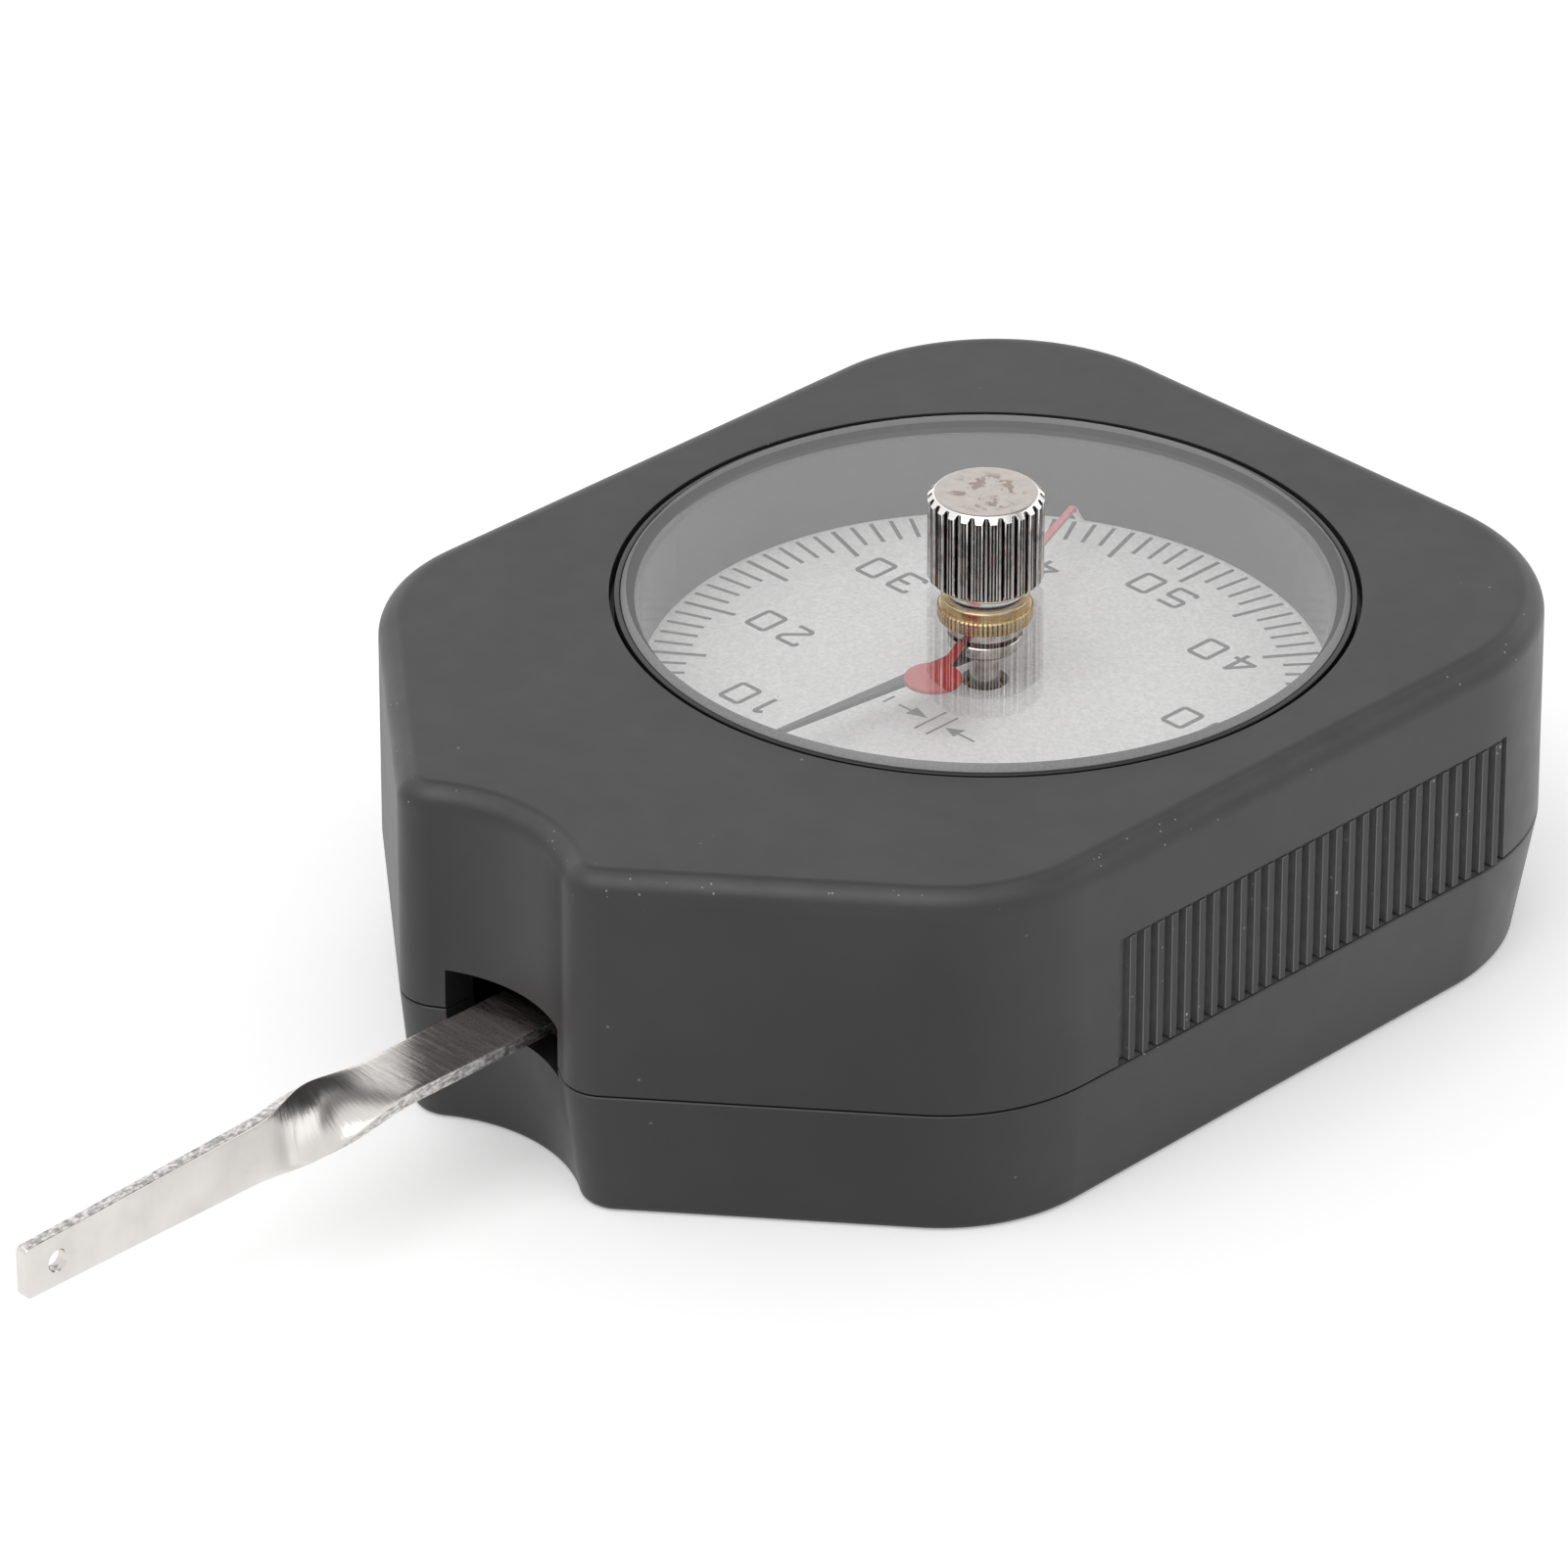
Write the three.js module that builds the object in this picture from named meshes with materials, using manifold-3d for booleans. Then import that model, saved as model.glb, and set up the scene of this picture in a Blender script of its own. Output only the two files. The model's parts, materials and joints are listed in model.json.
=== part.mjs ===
// Dial tension gauge: a zero-centre spring force gauge with a sideways measuring lever.
// Millimetres. The dial axis is X = Y = 0, the case rests on Z = 0, the lever points along -Y.

import * as THREE from 'three';
import { mergeVertices } from 'three/addons/utils/BufferGeometryUtils.js';
import Module from 'manifold-3d';

const wasm = await Module();
wasm.setup();

// Driving dimensions: case

const HALF_WIDTH = 27.8;
const BACK_Y = 29.1;
const BACK_CORNER_R = 14.3;
const CHAMFER_ANGLE = THREE.MathUtils.degToRad(-51);
const CHAMFER_DISTANCE = 37.25;
const SIDE_CORNER_R = 12;
const HORN_R = 2.6;
const NOTCH_R = 10;
const NOTCH_Y = -39.3;
const CASE_TOP = 23.2;
const SEAM_Z = 8.4;
const SEAM_GAP = 0.1;
const WALL = 2;
const FLOOR = 2;
const TOP_EDGE_R = 1.6;
const TOP_DRAFT = 0.1;
const BOTTOM_EDGE_R = 0.5;
const BOTTOM_DRAFT = 0.66;
const BOTTOM_NOTCH_Y = -38.9;
const BOTTOM_HORN_R = 3.1;
const BACK_TAPER = { from: -3, to: 18, share: 0.019 };
const INNER_DRAFT = 0.5;
const ROOF = 2.4;

// Driving dimensions: dial, glass and knob

const OPENING_R = 23;
const WELL_R = 21.2;
const WELL_OUTER_R = 23.6;
const LEDGE_R = 21.45;
const GLASS_R = 22.3;
const GLASS_BOTTOM = 21.9;
const GLASS_TOP = 23.55;
const GLASS_BEVEL = { width: 0.34, height: 0.42 };
const GLASS_RING_R = 22.7;
const GLASS_HOLE_R = 2.25;
const DIAL_R = 22.4;
const DIAL_TOP = 15.9;
const DIAL_THICKNESS = 0.8;
const DIAL_HOLE_R = 1.46;
const KNOB_R = 3.58;
const KNOB_TOP = 29.9;
const KNOB_TEETH = 24;
const KNURL_DEPTH = 0.3;
const STEM_R = 1;
const GRIP_BOTTOM = 24;
const FLANGE = { radius: 2.95, bottom: 20.35, top: 21.27, stepR: 2.72 };
const COLLAR_R = 2.15;

// Driving dimensions: movement

const GEAR_MODULE = 0.35;
const PINION_TEETH = 12;
const SECTOR_FULL_TEETH = 168;
const SECTOR_TEETH = 16;
const PRESSURE_ANGLE = THREE.MathUtils.degToRad(20);
const PINION_PITCH_R = GEAR_MODULE * PINION_TEETH / 2;
const SECTOR_PITCH_R = GEAR_MODULE * SECTOR_FULL_TEETH / 2;
const PIVOT_Y = -(PINION_PITCH_R + SECTOR_PITCH_R);
const LEVER_TOP = 9.88;
const LEVER_THICKNESS = 0.85;
const LEVER_HALF_WIDTH = 2.33;
const LEVER_TIP_Y = -77.9;
const LEVER_HEEL_Y = -27.6;
const BASE_PLATE = { bottom: 2.6, top: 3.8 };
const TOP_PLATE = { bottom: 12.2, top: 13.2 };
const SECTOR_Z = { bottom: 7.95, top: 8.85 };
const POINTER_Z = { bottom: 17.9, top: 18.2 };
const DRAG_Z = { bottom: 19.25, top: 19.5 };
const POINTER_REST = THREE.MathUtils.degToRad(-5.2);
const DRAG_REST = THREE.MathUtils.degToRad(-153.6);
const ARBOR = { radius: 0.92, pivot: 0.5, shoulder: 4.2 };
const SHAFT = { radius: 1.2, pivot: 0.7, lowerShoulder: 4.2, upperShoulder: 11.9 };
const RIVET_SPOTS = [[0, PIVOT_Y + 2.5], [0, PIVOT_Y - 2.5]];
const RIVET_R = 0.5;
const SPRING_STUD = { x: -5.6, y: PIVOT_Y };
const HAIR_STUD = { x: -6.3, y: 0 };
const STUD_R = 0.5;
const BUSH_R = 1.7;
const UPPER_BUSH_R = 1.38;
const SLIP = 0.05;

// Steps round a circle, by how much of it shows

const FINE = 72;
const MEDIUM = 32;
const COARSE = 16;
const HIDDEN = 12;

// Materials

const finish = (color, roughness, metalness) =>
  new THREE.MeshStandardMaterial({ color, roughness, metalness });

const MATERIAL = {
  case: finish(0x343436, 0.55, 0),
  ring: finish(0x3c3c3e, 0.6, 0),
  glass: new THREE.MeshStandardMaterial({
    color: 0xf4f8f8, roughness: 0.02, transparent: true, opacity: 0.2,
  }),
  dial: finish(0xc4c4c2, 0.45, 0.6),
  pointer: finish(0x3a3c3e, 0.5, 0.2),
  red: finish(0xb32a2c, 0.45, 0),
  nickel: finish(0xd2cec8, 0.25, 1),
  brass: finish(0xb9975a, 0.35, 1),
  steel: finish(0xa9abad, 0.35, 1),
  spring: finish(0x6c7078, 0.4, 1),
  washer: finish(0x2a2a2a, 0.8, 0),
};

// Geometry helpers

const mod = (i, n) => (i + n) % n;

// A closed copy of a geometry: shared vertices merged, slivers dropped, faces pointing out
function closed(source) {
  const bare = source.clone();
  bare.deleteAttribute('normal');
  bare.deleteAttribute('uv');
  const merged = mergeVertices(bare, 1e-5);
  const at = merged.getAttribute('position');
  const corner = [0, 1, 2].map(() => new THREE.Vector3());
  const kept = [];
  let volume = 0;
  for (let i = 0; i < merged.index.count; i += 3) {
    const ids = [0, 1, 2].map((k) => merged.index.getX(i + k));
    if (new Set(ids).size < 3) continue;
    ids.forEach((id, k) => corner[k].fromBufferAttribute(at, id));
    volume += corner[0].dot(corner[1].clone().cross(corner[2]));
    kept.push(ids);
  }
  const outward = volume < 0 ? kept.map(([a, b, c]) => [a, c, b]) : kept;
  merged.setIndex(outward.flat());
  return merged;
}

function toManifold(source) {
  const geometry = closed(source);
  return new wasm.Manifold(new wasm.Mesh({
    numProp: 3,
    vertProperties: new Float32Array(geometry.getAttribute('position').array),
    triVerts: new Uint32Array(geometry.index.array),
  }));
}

function fromManifold(manifold) {
  const mesh = manifold.getMesh();
  const geometry = new THREE.BufferGeometry();
  geometry.setAttribute('position', new THREE.BufferAttribute(mesh.vertProperties, 3));
  geometry.setIndex(Array.from(mesh.triVerts));
  return geometry;
}

// Cutting and joining take geometries or earlier results, and give a result of their own
const solid = (item) => (item instanceof wasm.Manifold ? item : toManifold(item));

const cut = (body, ...tools) =>
  tools.reduce((rest, tool) => rest.subtract(solid(tool)), solid(body));

const join = (body, ...others) =>
  others.reduce((sum, other) => sum.add(solid(other)), solid(body));

const common = (a, b) => solid(a).intersect(solid(b));

// An upright cylinder between two heights
function rod(radius, bottom, top, segments = MEDIUM, x = 0, y = 0) {
  const geometry = new THREE.CylinderGeometry(radius, radius, top - bottom, segments);
  geometry.rotateX(Math.PI / 2);
  geometry.translate(x, y, (bottom + top) / 2);
  return geometry;
}

function block(width, depth, bottom, top, x = 0, y = 0) {
  const geometry = new THREE.BoxGeometry(width, depth, top - bottom);
  geometry.translate(x, y, (bottom + top) / 2);
  return geometry;
}

// A turned piece about the upright axis, from [radius, height] points
function turned(profile, segments = MEDIUM, x = 0, y = 0) {
  const points = profile.map(([radius, height]) => new THREE.Vector2(radius, height));
  const geometry = new THREE.LatheGeometry(points, segments);
  geometry.rotateX(Math.PI / 2);
  geometry.translate(x, y, 0);
  return closed(geometry);
}

// A turned ring: the profile closes on itself
const ring = (inner, outer, bottom, top, segments = MEDIUM, x = 0, y = 0) => turned([
  [inner, bottom], [outer, bottom], [outer, top], [inner, top], [inner, bottom],
], segments, x, y);

// An upright prism of an outline
function prism(shape, bottom, top, curveSegments = 24) {
  const geometry = new THREE.ExtrudeGeometry(shape, {
    depth: top - bottom, bevelEnabled: false, curveSegments,
  });
  geometry.translate(0, 0, bottom);
  return closed(geometry);
}

const polygon = (points) => new THREE.Shape(points.map(([x, y]) => new THREE.Vector2(x, y)));

// Points of an arc about a centre, both ends included
function arc(cx, cy, radius, from, to, steps) {
  return Array.from({ length: steps + 1 }, (_, i) => {
    const angle = from + (to - from) * i / steps;
    return [cx + radius * Math.cos(angle), cy + radius * Math.sin(angle)];
  });
}

// A solid through a list of rings that all have the same number of [x, y, z] points
function loft(rings) {
  const count = rings[0].length;
  const index = [];
  rings.slice(1).forEach((_, level) => {
    for (let i = 0; i < count; i += 1) {
      const a = level * count + i;
      const b = level * count + mod(i + 1, count);
      index.push(a, b, b + count, a, b + count, a + count);
    }
  });
  const first = rings[0];
  const last = rings[rings.length - 1];
  const top = (rings.length - 1) * count;
  for (const [a, b, c] of THREE.ShapeUtils.triangulateShape(flatContour(first), [])) {
    index.push(a, c, b);
  }
  for (const [a, b, c] of THREE.ShapeUtils.triangulateShape(flatContour(last), [])) {
    index.push(top + a, top + b, top + c);
  }
  const geometry = new THREE.BufferGeometry();
  geometry.setAttribute('position', new THREE.Float32BufferAttribute(rings.flat(2), 3));
  geometry.setIndex(index);
  return geometry;
}

// An end ring lies level or upright across Y: the two of its coordinates that vary
function flatContour(points) {
  const level = points.every((p) => Math.abs(p[2] - points[0][2]) < 1e-9);
  return points.map(([x, y, z]) => new THREE.Vector2(x, level ? y : z));
}

// Case outline in plan, drawn in by an inset, anticlockwise from the middle of the front notch

const sideCornerX = HALF_WIDTH - SIDE_CORNER_R;
const sideCorner = {
  x: sideCornerX,
  y: (CHAMFER_DISTANCE - SIDE_CORNER_R - sideCornerX * Math.cos(CHAMFER_ANGLE))
    / Math.sin(CHAMFER_ANGLE),
};

// The front notch and the rounded horn beside it, which touches the notch and the chamfer
function frontShape(notchY, hornR) {
  const notch = { y: notchY - NOTCH_R };
  const normal = { x: Math.cos(CHAMFER_ANGLE), y: Math.sin(CHAMFER_ANGLE) };
  const offset = CHAMFER_DISTANCE - hornR;
  const foot = { x: normal.x * offset, y: normal.y * offset };
  const along = { x: normal.y, y: -normal.x };
  const dy = foot.y - notch.y;
  const half = foot.x * along.x + dy * along.y;
  const rest = foot.x ** 2 + dy ** 2 - (NOTCH_R + hornR) ** 2;
  const step = -half - Math.sqrt(half * half - rest);
  const horn = { x: foot.x + along.x * step, y: foot.y + along.y * step, radius: hornR };
  return { notch, horn };
}

const FRONT = frontShape(NOTCH_Y, HORN_R);
const BOTTOM_FRONT = frontShape(BOTTOM_NOTCH_Y, BOTTOM_HORN_R);

function caseOutline(inset, { notch, horn } = FRONT) {
  const towardHorn = Math.atan2(horn.y - notch.y, horn.x);
  const right = [
    ...arc(0, notch.y, NOTCH_R + inset, Math.PI / 2, towardHorn, 5),
    ...arc(horn.x, horn.y, horn.radius - inset, towardHorn - Math.PI, CHAMFER_ANGLE, 8).slice(1),
    ...arc(sideCorner.x, sideCorner.y, SIDE_CORNER_R - inset, CHAMFER_ANGLE, 0, 6),
    ...arc(HALF_WIDTH - BACK_CORNER_R, BACK_Y - BACK_CORNER_R, BACK_CORNER_R - inset,
      0, Math.PI / 2, 12),
  ];
  const left = right.slice(1).reverse().map(([x, y]) => [-x, y]);
  return [...right, ...left];
}

const caseRing = (inset, z) => caseOutline(inset).map(([x, y]) => [x, y, z]);

// The bottom edge has a deeper notch, rounder horns and a back that draws in
function bottomRing(inset, z) {
  const { from, to, share } = BACK_TAPER;
  return caseOutline(BOTTOM_DRAFT + inset, BOTTOM_FRONT).map(([x, y]) => {
    const scale = 1 - share * THREE.MathUtils.clamp((y - from) / (to - from), 0, 1);
    return [x * scale, y > 0 ? y * scale : y, z];
  });
}

function filletRings(radius, steps, place) {
  return Array.from({ length: steps + 1 }, (_, i) => {
    const angle = Math.PI / 2 * i / steps;
    return place(radius * (1 - Math.cos(angle)), radius * Math.sin(angle));
  });
}

// Upper case: top plate with the dial well, walls, grip ribs, screw bosses and lever slot

const SCREW_SPOTS = [[18.6, 19.6], [-18.6, 19.6], [19.4, -22.6], [-19.4, -22.6]];
const BOSS_R = 2.3;
const BOSS_HOLE_R = 1.2;
const BOSS_HOLE_TOP = 15;
const SLOT = { left: -4.95, right: 4.65, bottom: 7.7, top: 11.1, depth: 6 };
const SIDE_GRIP = { front: -16.85, back: 17.25, top: 17.1, depth: 0.6, reach: 1, spine: 0.3 };
const RIBS = { first: -15.62, pitch: 1.1833, count: 28, halfWidth: 0.25, drop: 0.17 };

// A pocket in the side wall that leaves upright ribs standing, whose tops slope down outward
function gripCutter(side) {
  const wall = HALF_WIDTH - TOP_DRAFT / 2;
  const floor = side * (wall - SIDE_GRIP.depth);
  const spine = side * (HALF_WIDTH + SIDE_GRIP.spine);
  const out = side * (HALF_WIDTH + SIDE_GRIP.reach);
  const comb = [[out, SIDE_GRIP.front], [floor, SIDE_GRIP.front]];
  for (let i = 0; i < RIBS.count; i += 1) {
    const middle = RIBS.first + RIBS.pitch * i;
    const near = middle - RIBS.halfWidth;
    const far = middle + RIBS.halfWidth;
    comb.push([floor, near], [spine, near], [spine, far], [floor, far]);
  }
  comb.push([floor, SIDE_GRIP.back], [out, SIDE_GRIP.back]);
  const slope = RIBS.drop / SIDE_GRIP.depth;
  const fall = slope * (SIDE_GRIP.depth + SIDE_GRIP.reach);
  const ribTops = new THREE.ExtrudeGeometry(polygon([
    [floor, SIDE_GRIP.top], [out, SIDE_GRIP.top - fall], [out, SIDE_GRIP.top],
  ]), { depth: SIDE_GRIP.back - SIDE_GRIP.front, bevelEnabled: false });
  ribTops.rotateX(Math.PI / 2);
  ribTops.translate(0, SIDE_GRIP.back, 0);
  return join(prism(polygon(comb), SEAM_Z - 1, SIDE_GRIP.top), ribTops);
}

const slotCutter = () => block(SLOT.right - SLOT.left, SLOT.depth, SLOT.bottom, SLOT.top,
  (SLOT.left + SLOT.right) / 2, NOTCH_Y);

function upperCase() {
  const bottom = SEAM_Z + SEAM_GAP / 2;
  const shoulder = CASE_TOP - TOP_EDGE_R;
  const outside = loft([
    caseRing(0, bottom),
    ...filletRings(TOP_EDGE_R, 6, (inward, up) => caseRing(TOP_DRAFT + inward, shoulder + up)),
  ]);
  const inside = loft([
    caseRing(WALL, bottom - 1),
    caseRing(WALL, CASE_TOP - ROOF),
  ]);
  const well = rod(WELL_OUTER_R, DIAL_TOP + SLIP, CASE_TOP, FINE / 2);
  const bosses = SCREW_SPOTS.map(([x, y]) => rod(BOSS_R, bottom + SLIP, CASE_TOP - 1, COARSE, x, y));
  const hollow = cut(inside, well, ...bosses);
  const wellBore = rod(WELL_R, bottom, CASE_TOP + 1, FINE);
  const ledge = rod(LEDGE_R, GLASS_BOTTOM - 0.5, CASE_TOP + 1, FINE);
  const seat = rod(OPENING_R, GLASS_BOTTOM, CASE_TOP + 1, FINE);
  const holes = SCREW_SPOTS.map(([x, y]) => rod(BOSS_HOLE_R, bottom - 1, BOSS_HOLE_TOP, HIDDEN, x, y));
  return cut(outside, hollow, wellBore, ledge, seat, slotCutter(),
    gripCutter(1), gripCutter(-1), ...holes);
}

// Lower case: tapered tray with screw bosses and the posts under the base plate

const BASE_SCREW_SPOTS = [[11, 3], [-11, 3], [0, -21]];
const HEAD_RECESS_R = 2.1;
const HEAD_RECESS_TOP = 1.5;

function lowerCase() {
  const top = SEAM_Z - SEAM_GAP / 2;
  const edge = filletRings(BOTTOM_EDGE_R, 3, (inward, up) => ({ inward, up })).reverse();
  const outside = loft([
    ...edge.map(({ inward, up }) => bottomRing(inward, BOTTOM_EDGE_R - up)),
    caseRing(0, top),
  ]);
  const inside = loft([caseRing(WALL + INNER_DRAFT, FLOOR), caseRing(WALL, top + 1)]);
  const bosses = SCREW_SPOTS.map(([x, y]) => rod(BOSS_R, FLOOR - 0.5, top, COARSE, x, y));
  const posts = BASE_SCREW_SPOTS.map(([x, y]) =>
    rod(2, FLOOR - 0.5, BASE_PLATE.bottom - SLIP, HIDDEN, x, y));
  const hollow = cut(inside, ...bosses, ...posts);
  const recesses = SCREW_SPOTS.map(([x, y]) => rod(HEAD_RECESS_R, -1, HEAD_RECESS_TOP, 24, x, y));
  const throughs = SCREW_SPOTS.map(([x, y]) => rod(BOSS_HOLE_R, 0, top + 1, HIDDEN, x, y));
  const threads = BASE_SCREW_SPOTS.map(([x, y]) => rod(0.8, 0.9, BASE_PLATE.bottom, HIDDEN, x, y));
  return cut(outside, hollow, slotCutter(), ...recesses, ...throughs, ...threads);
}

// Glass, its retaining ring and the dial plate

const glass = () => turned([
  [GLASS_HOLE_R, GLASS_BOTTOM],
  [GLASS_R, GLASS_BOTTOM],
  [GLASS_R, GLASS_TOP - GLASS_BEVEL.height],
  [GLASS_R - GLASS_BEVEL.width, GLASS_TOP],
  [GLASS_HOLE_R, GLASS_TOP],
  [GLASS_HOLE_R, GLASS_BOTTOM],
], FINE);

const glassRing = () =>
  ring(GLASS_R + 0.04, GLASS_RING_R, GLASS_BOTTOM + SLIP, CASE_TOP - SLIP, FINE);

const dialPlate = () => ring(DIAL_HOLE_R, DIAL_R, DIAL_TOP - DIAL_THICKNESS, DIAL_TOP, 48);

// Pointers: flat outlines drawn with the tip along +X, then turned to their rest angle

const POINTER_LENGTH = 17.1;
const POINTER_BOSS = { radius: 1.25, top: POINTER_Z.top + 0.35 };
const restTurn = (angle) => angle - Math.PI / 2;

function mainPointer() {
  const root = 0.62;
  const tip = 0.12;
  const tail = 2.1;
  const blade = prism(polygon([
    [-tail, -root], [0, -root], [POINTER_LENGTH, -tip],
    [POINTER_LENGTH, tip], [0, root], [-tail, root],
  ]), POINTER_Z.bottom, POINTER_Z.top);
  const boss = rod(POINTER_BOSS.radius, POINTER_Z.bottom, POINTER_BOSS.top, 24);
  const bore = rod(0.55, POINTER_Z.bottom - 1, POINTER_Z.top + 1, HIDDEN);
  const geometry = fromManifold(cut(join(blade, boss), bore));
  geometry.rotateZ(restTurn(POINTER_REST));
  return geometry;
}

const DRAG_BEND_R = 16.5;
const DRAG_TIP = { reach: 1.9, drop: 1.8, side: -0.36, halfWidth: 0.2 };
const DRAG_DISC = { x: -6.9, y: 1.05, radius: 1.77 };
const DRAG_EYE_R = 1.7;

// The drag pointer's tip folds out and down, so that its side view is a bent strip
function dragPointer() {
  const thickness = DRAG_Z.top - DRAG_Z.bottom;
  const { side, halfWidth } = DRAG_TIP;
  const needle = prism(polygon([
    [-5.3, 0.5], [-4.4, 0.52], [-1, 0.5], [0, 0.1], [12, -0.2],
    [DRAG_BEND_R, side - halfWidth], [DRAG_BEND_R, side + halfWidth],
    [12, 0.28], [0, 1.05], [-2.3, 1.03], [-4.2, 1.1], [-5.5, 1.8],
  ]), DRAG_Z.bottom, DRAG_Z.top);
  const fold = new THREE.ExtrudeGeometry(polygon([
    [DRAG_BEND_R - 0.2, DRAG_Z.bottom],
    [DRAG_BEND_R + DRAG_TIP.reach - thickness * 0.7, DRAG_Z.bottom - DRAG_TIP.drop],
    [DRAG_BEND_R + DRAG_TIP.reach, DRAG_Z.bottom - DRAG_TIP.drop],
    [DRAG_BEND_R, DRAG_Z.top],
    [DRAG_BEND_R - 0.2, DRAG_Z.top],
  ]), { depth: 2 * halfWidth, bevelEnabled: false });
  fold.rotateX(Math.PI / 2);
  fold.translate(0, side + halfWidth, 0);
  const disc = rod(DRAG_DISC.radius, DRAG_Z.bottom, DRAG_Z.top, 32, DRAG_DISC.x, DRAG_DISC.y);
  const eye = rod(DRAG_EYE_R, DRAG_Z.bottom, DRAG_Z.top, 24);
  const bore = rod(STEM_R + SLIP, DRAG_Z.bottom - 1, DRAG_Z.top + 1, COARSE);
  const geometry = fromManifold(cut(join(eye, needle, fold, disc), bore));
  geometry.rotateZ(restTurn(DRAG_REST));
  return geometry;
}

// The drag pointer is clamped between a cap and its hub, which is hollow for the main pointer's boss

const HUB = { radius: 2.3, chamfer: 0.3, bottom: 18.26, recessR: 1.45, recessTop: 18.75 };

const dragHub = () => turned([
  [0, HUB.recessTop],
  [HUB.recessR, HUB.recessTop],
  [HUB.recessR, HUB.bottom],
  [HUB.radius - HUB.chamfer, HUB.bottom],
  [HUB.radius, HUB.bottom + HUB.chamfer],
  [HUB.radius, DRAG_Z.bottom - SLIP],
  [0, DRAG_Z.bottom - SLIP],
], MEDIUM);

const dragCap = () => ring(STEM_R + SLIP, HUB.radius, DRAG_Z.top + SLIP, FLANGE.bottom - 0.1, MEDIUM);

// Knob: knurled grip, short neck and the stem that carries the drag pointer

function knob() {
  const grip = { bottom: GRIP_BOTTOM, top: KNOB_TOP };
  const neck = { bottom: GLASS_TOP + 0.03, radius: 2.95, bevel: 0.2 };
  const knurl = [];
  for (let i = 0; i < KNOB_TEETH; i += 1) {
    const step = 2 * Math.PI / KNOB_TEETH;
    const spots = [[0.12, 0], [0.3, 1], [0.7, 1], [0.88, 0]];
    for (const [phase, crest] of spots) {
      const angle = (i + phase) * step;
      const radius = KNOB_R - (1 - crest) * KNURL_DEPTH;
      knurl.push([radius * Math.cos(angle), radius * Math.sin(angle)]);
    }
  }
  const envelope = turned([
    [0, grip.bottom],
    [KNOB_R - KNURL_DEPTH, grip.bottom],
    [KNOB_R + 0.05, grip.bottom + 0.3],
    [KNOB_R + 0.05, grip.top - 0.42],
    [KNOB_R - 0.4, grip.top],
    [0, grip.top],
  ], 48);
  const teeth = common(prism(polygon(knurl), grip.bottom, grip.top), envelope);
  const stem = turned([
    [0, DRAG_Z.bottom],
    [STEM_R, DRAG_Z.bottom],
    [STEM_R, neck.bottom],
    [neck.radius - neck.bevel, neck.bottom],
    [neck.radius, neck.bottom + neck.bevel],
    [neck.radius, grip.bottom + 0.5],
    [0, grip.bottom + 0.5],
  ], MEDIUM);
  return join(teeth, stem);
}

const COLLAR_TOP = GLASS_TOP - 0.2;

// The bush's stepped flange sits under the glass, and its collar fills the hole in the glass
function knobBush() {
  const bevel = 0.1;
  const stepTop = GLASS_BOTTOM - SLIP;
  return turned([
    [STEM_R + SLIP, FLANGE.bottom],
    [FLANGE.radius - bevel, FLANGE.bottom],
    [FLANGE.radius, FLANGE.bottom + bevel],
    [FLANGE.radius, FLANGE.top - bevel],
    [FLANGE.radius - bevel, FLANGE.top],
    [FLANGE.stepR, FLANGE.top],
    [FLANGE.stepR, stepTop],
    [COLLAR_R, stepTop],
    [COLLAR_R, COLLAR_TOP],
    [STEM_R + SLIP, COLLAR_TOP],
    [STEM_R + SLIP, FLANGE.bottom],
  ], MEDIUM);
}

const frictionWasher = () => ring(1.15, 2, COLLAR_TOP + 0.04, GLASS_TOP - 0.03, 24);

// Gears

const involute = (angle) => Math.tan(angle) - angle;

// Half the angle that a tooth covers at a radius
function toothHalfAngle(teeth, radius, backlash) {
  const pitchR = GEAR_MODULE * teeth / 2;
  const baseR = pitchR * Math.cos(PRESSURE_ANGLE);
  const atPitch = (Math.PI / 2 / teeth) - backlash / 2 / pitchR;
  const pressure = radius > baseR ? Math.acos(baseR / radius) : 0;
  return atPitch + involute(PRESSURE_ANGLE) - involute(pressure);
}

// [radius, angle] points across one tooth, from its left root to its right root
function tooth(teeth, centre, rootR, tipR, backlash, steps) {
  const radii = Array.from({ length: steps + 1 }, (_, i) => rootR + (tipR - rootR) * i / steps);
  const left = radii.map((r) => [r, centre - toothHalfAngle(teeth, r, backlash)]);
  const right = radii.map((r) => [r, centre + toothHalfAngle(teeth, r, backlash)]).reverse();
  return [...left, ...right];
}

const BACKLASH = 0.09;
const PINION = {
  root: PINION_PITCH_R - GEAR_MODULE * 1.05,
  tip: PINION_PITCH_R + GEAR_MODULE * 0.85,
  bottom: 7.6,
  top: 9.2,
};

function pinion() {
  const outline = [];
  for (let i = 0; i < PINION_TEETH; i += 1) {
    const centre = -Math.PI / 2 + 2 * Math.PI * i / PINION_TEETH;
    for (const [r, a] of tooth(PINION_TEETH, centre, PINION.root, PINION.tip, BACKLASH, 3)) {
      outline.push([r * Math.cos(a), r * Math.sin(a)]);
    }
  }
  const wheel = prism(polygon(outline), PINION.bottom, PINION.top);
  return cut(wheel, rod(ARBOR.radius + 0.03, PINION.bottom - 1, PINION.top + 1, COARSE));
}

const SECTOR = {
  root: SECTOR_PITCH_R - GEAR_MODULE * 1.1,
  tip: SECTOR_PITCH_R + GEAR_MODULE * 0.7,
  rim: SECTOR_PITCH_R - 2.6,
  hub: 3.6,
  armHalfWidth: 2.2,
};

// The sector's angles are counted from +Y toward +X about the lever pivot
const fromPivot = ([r, a]) => [r * Math.sin(a), PIVOT_Y + r * Math.cos(a)];

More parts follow.
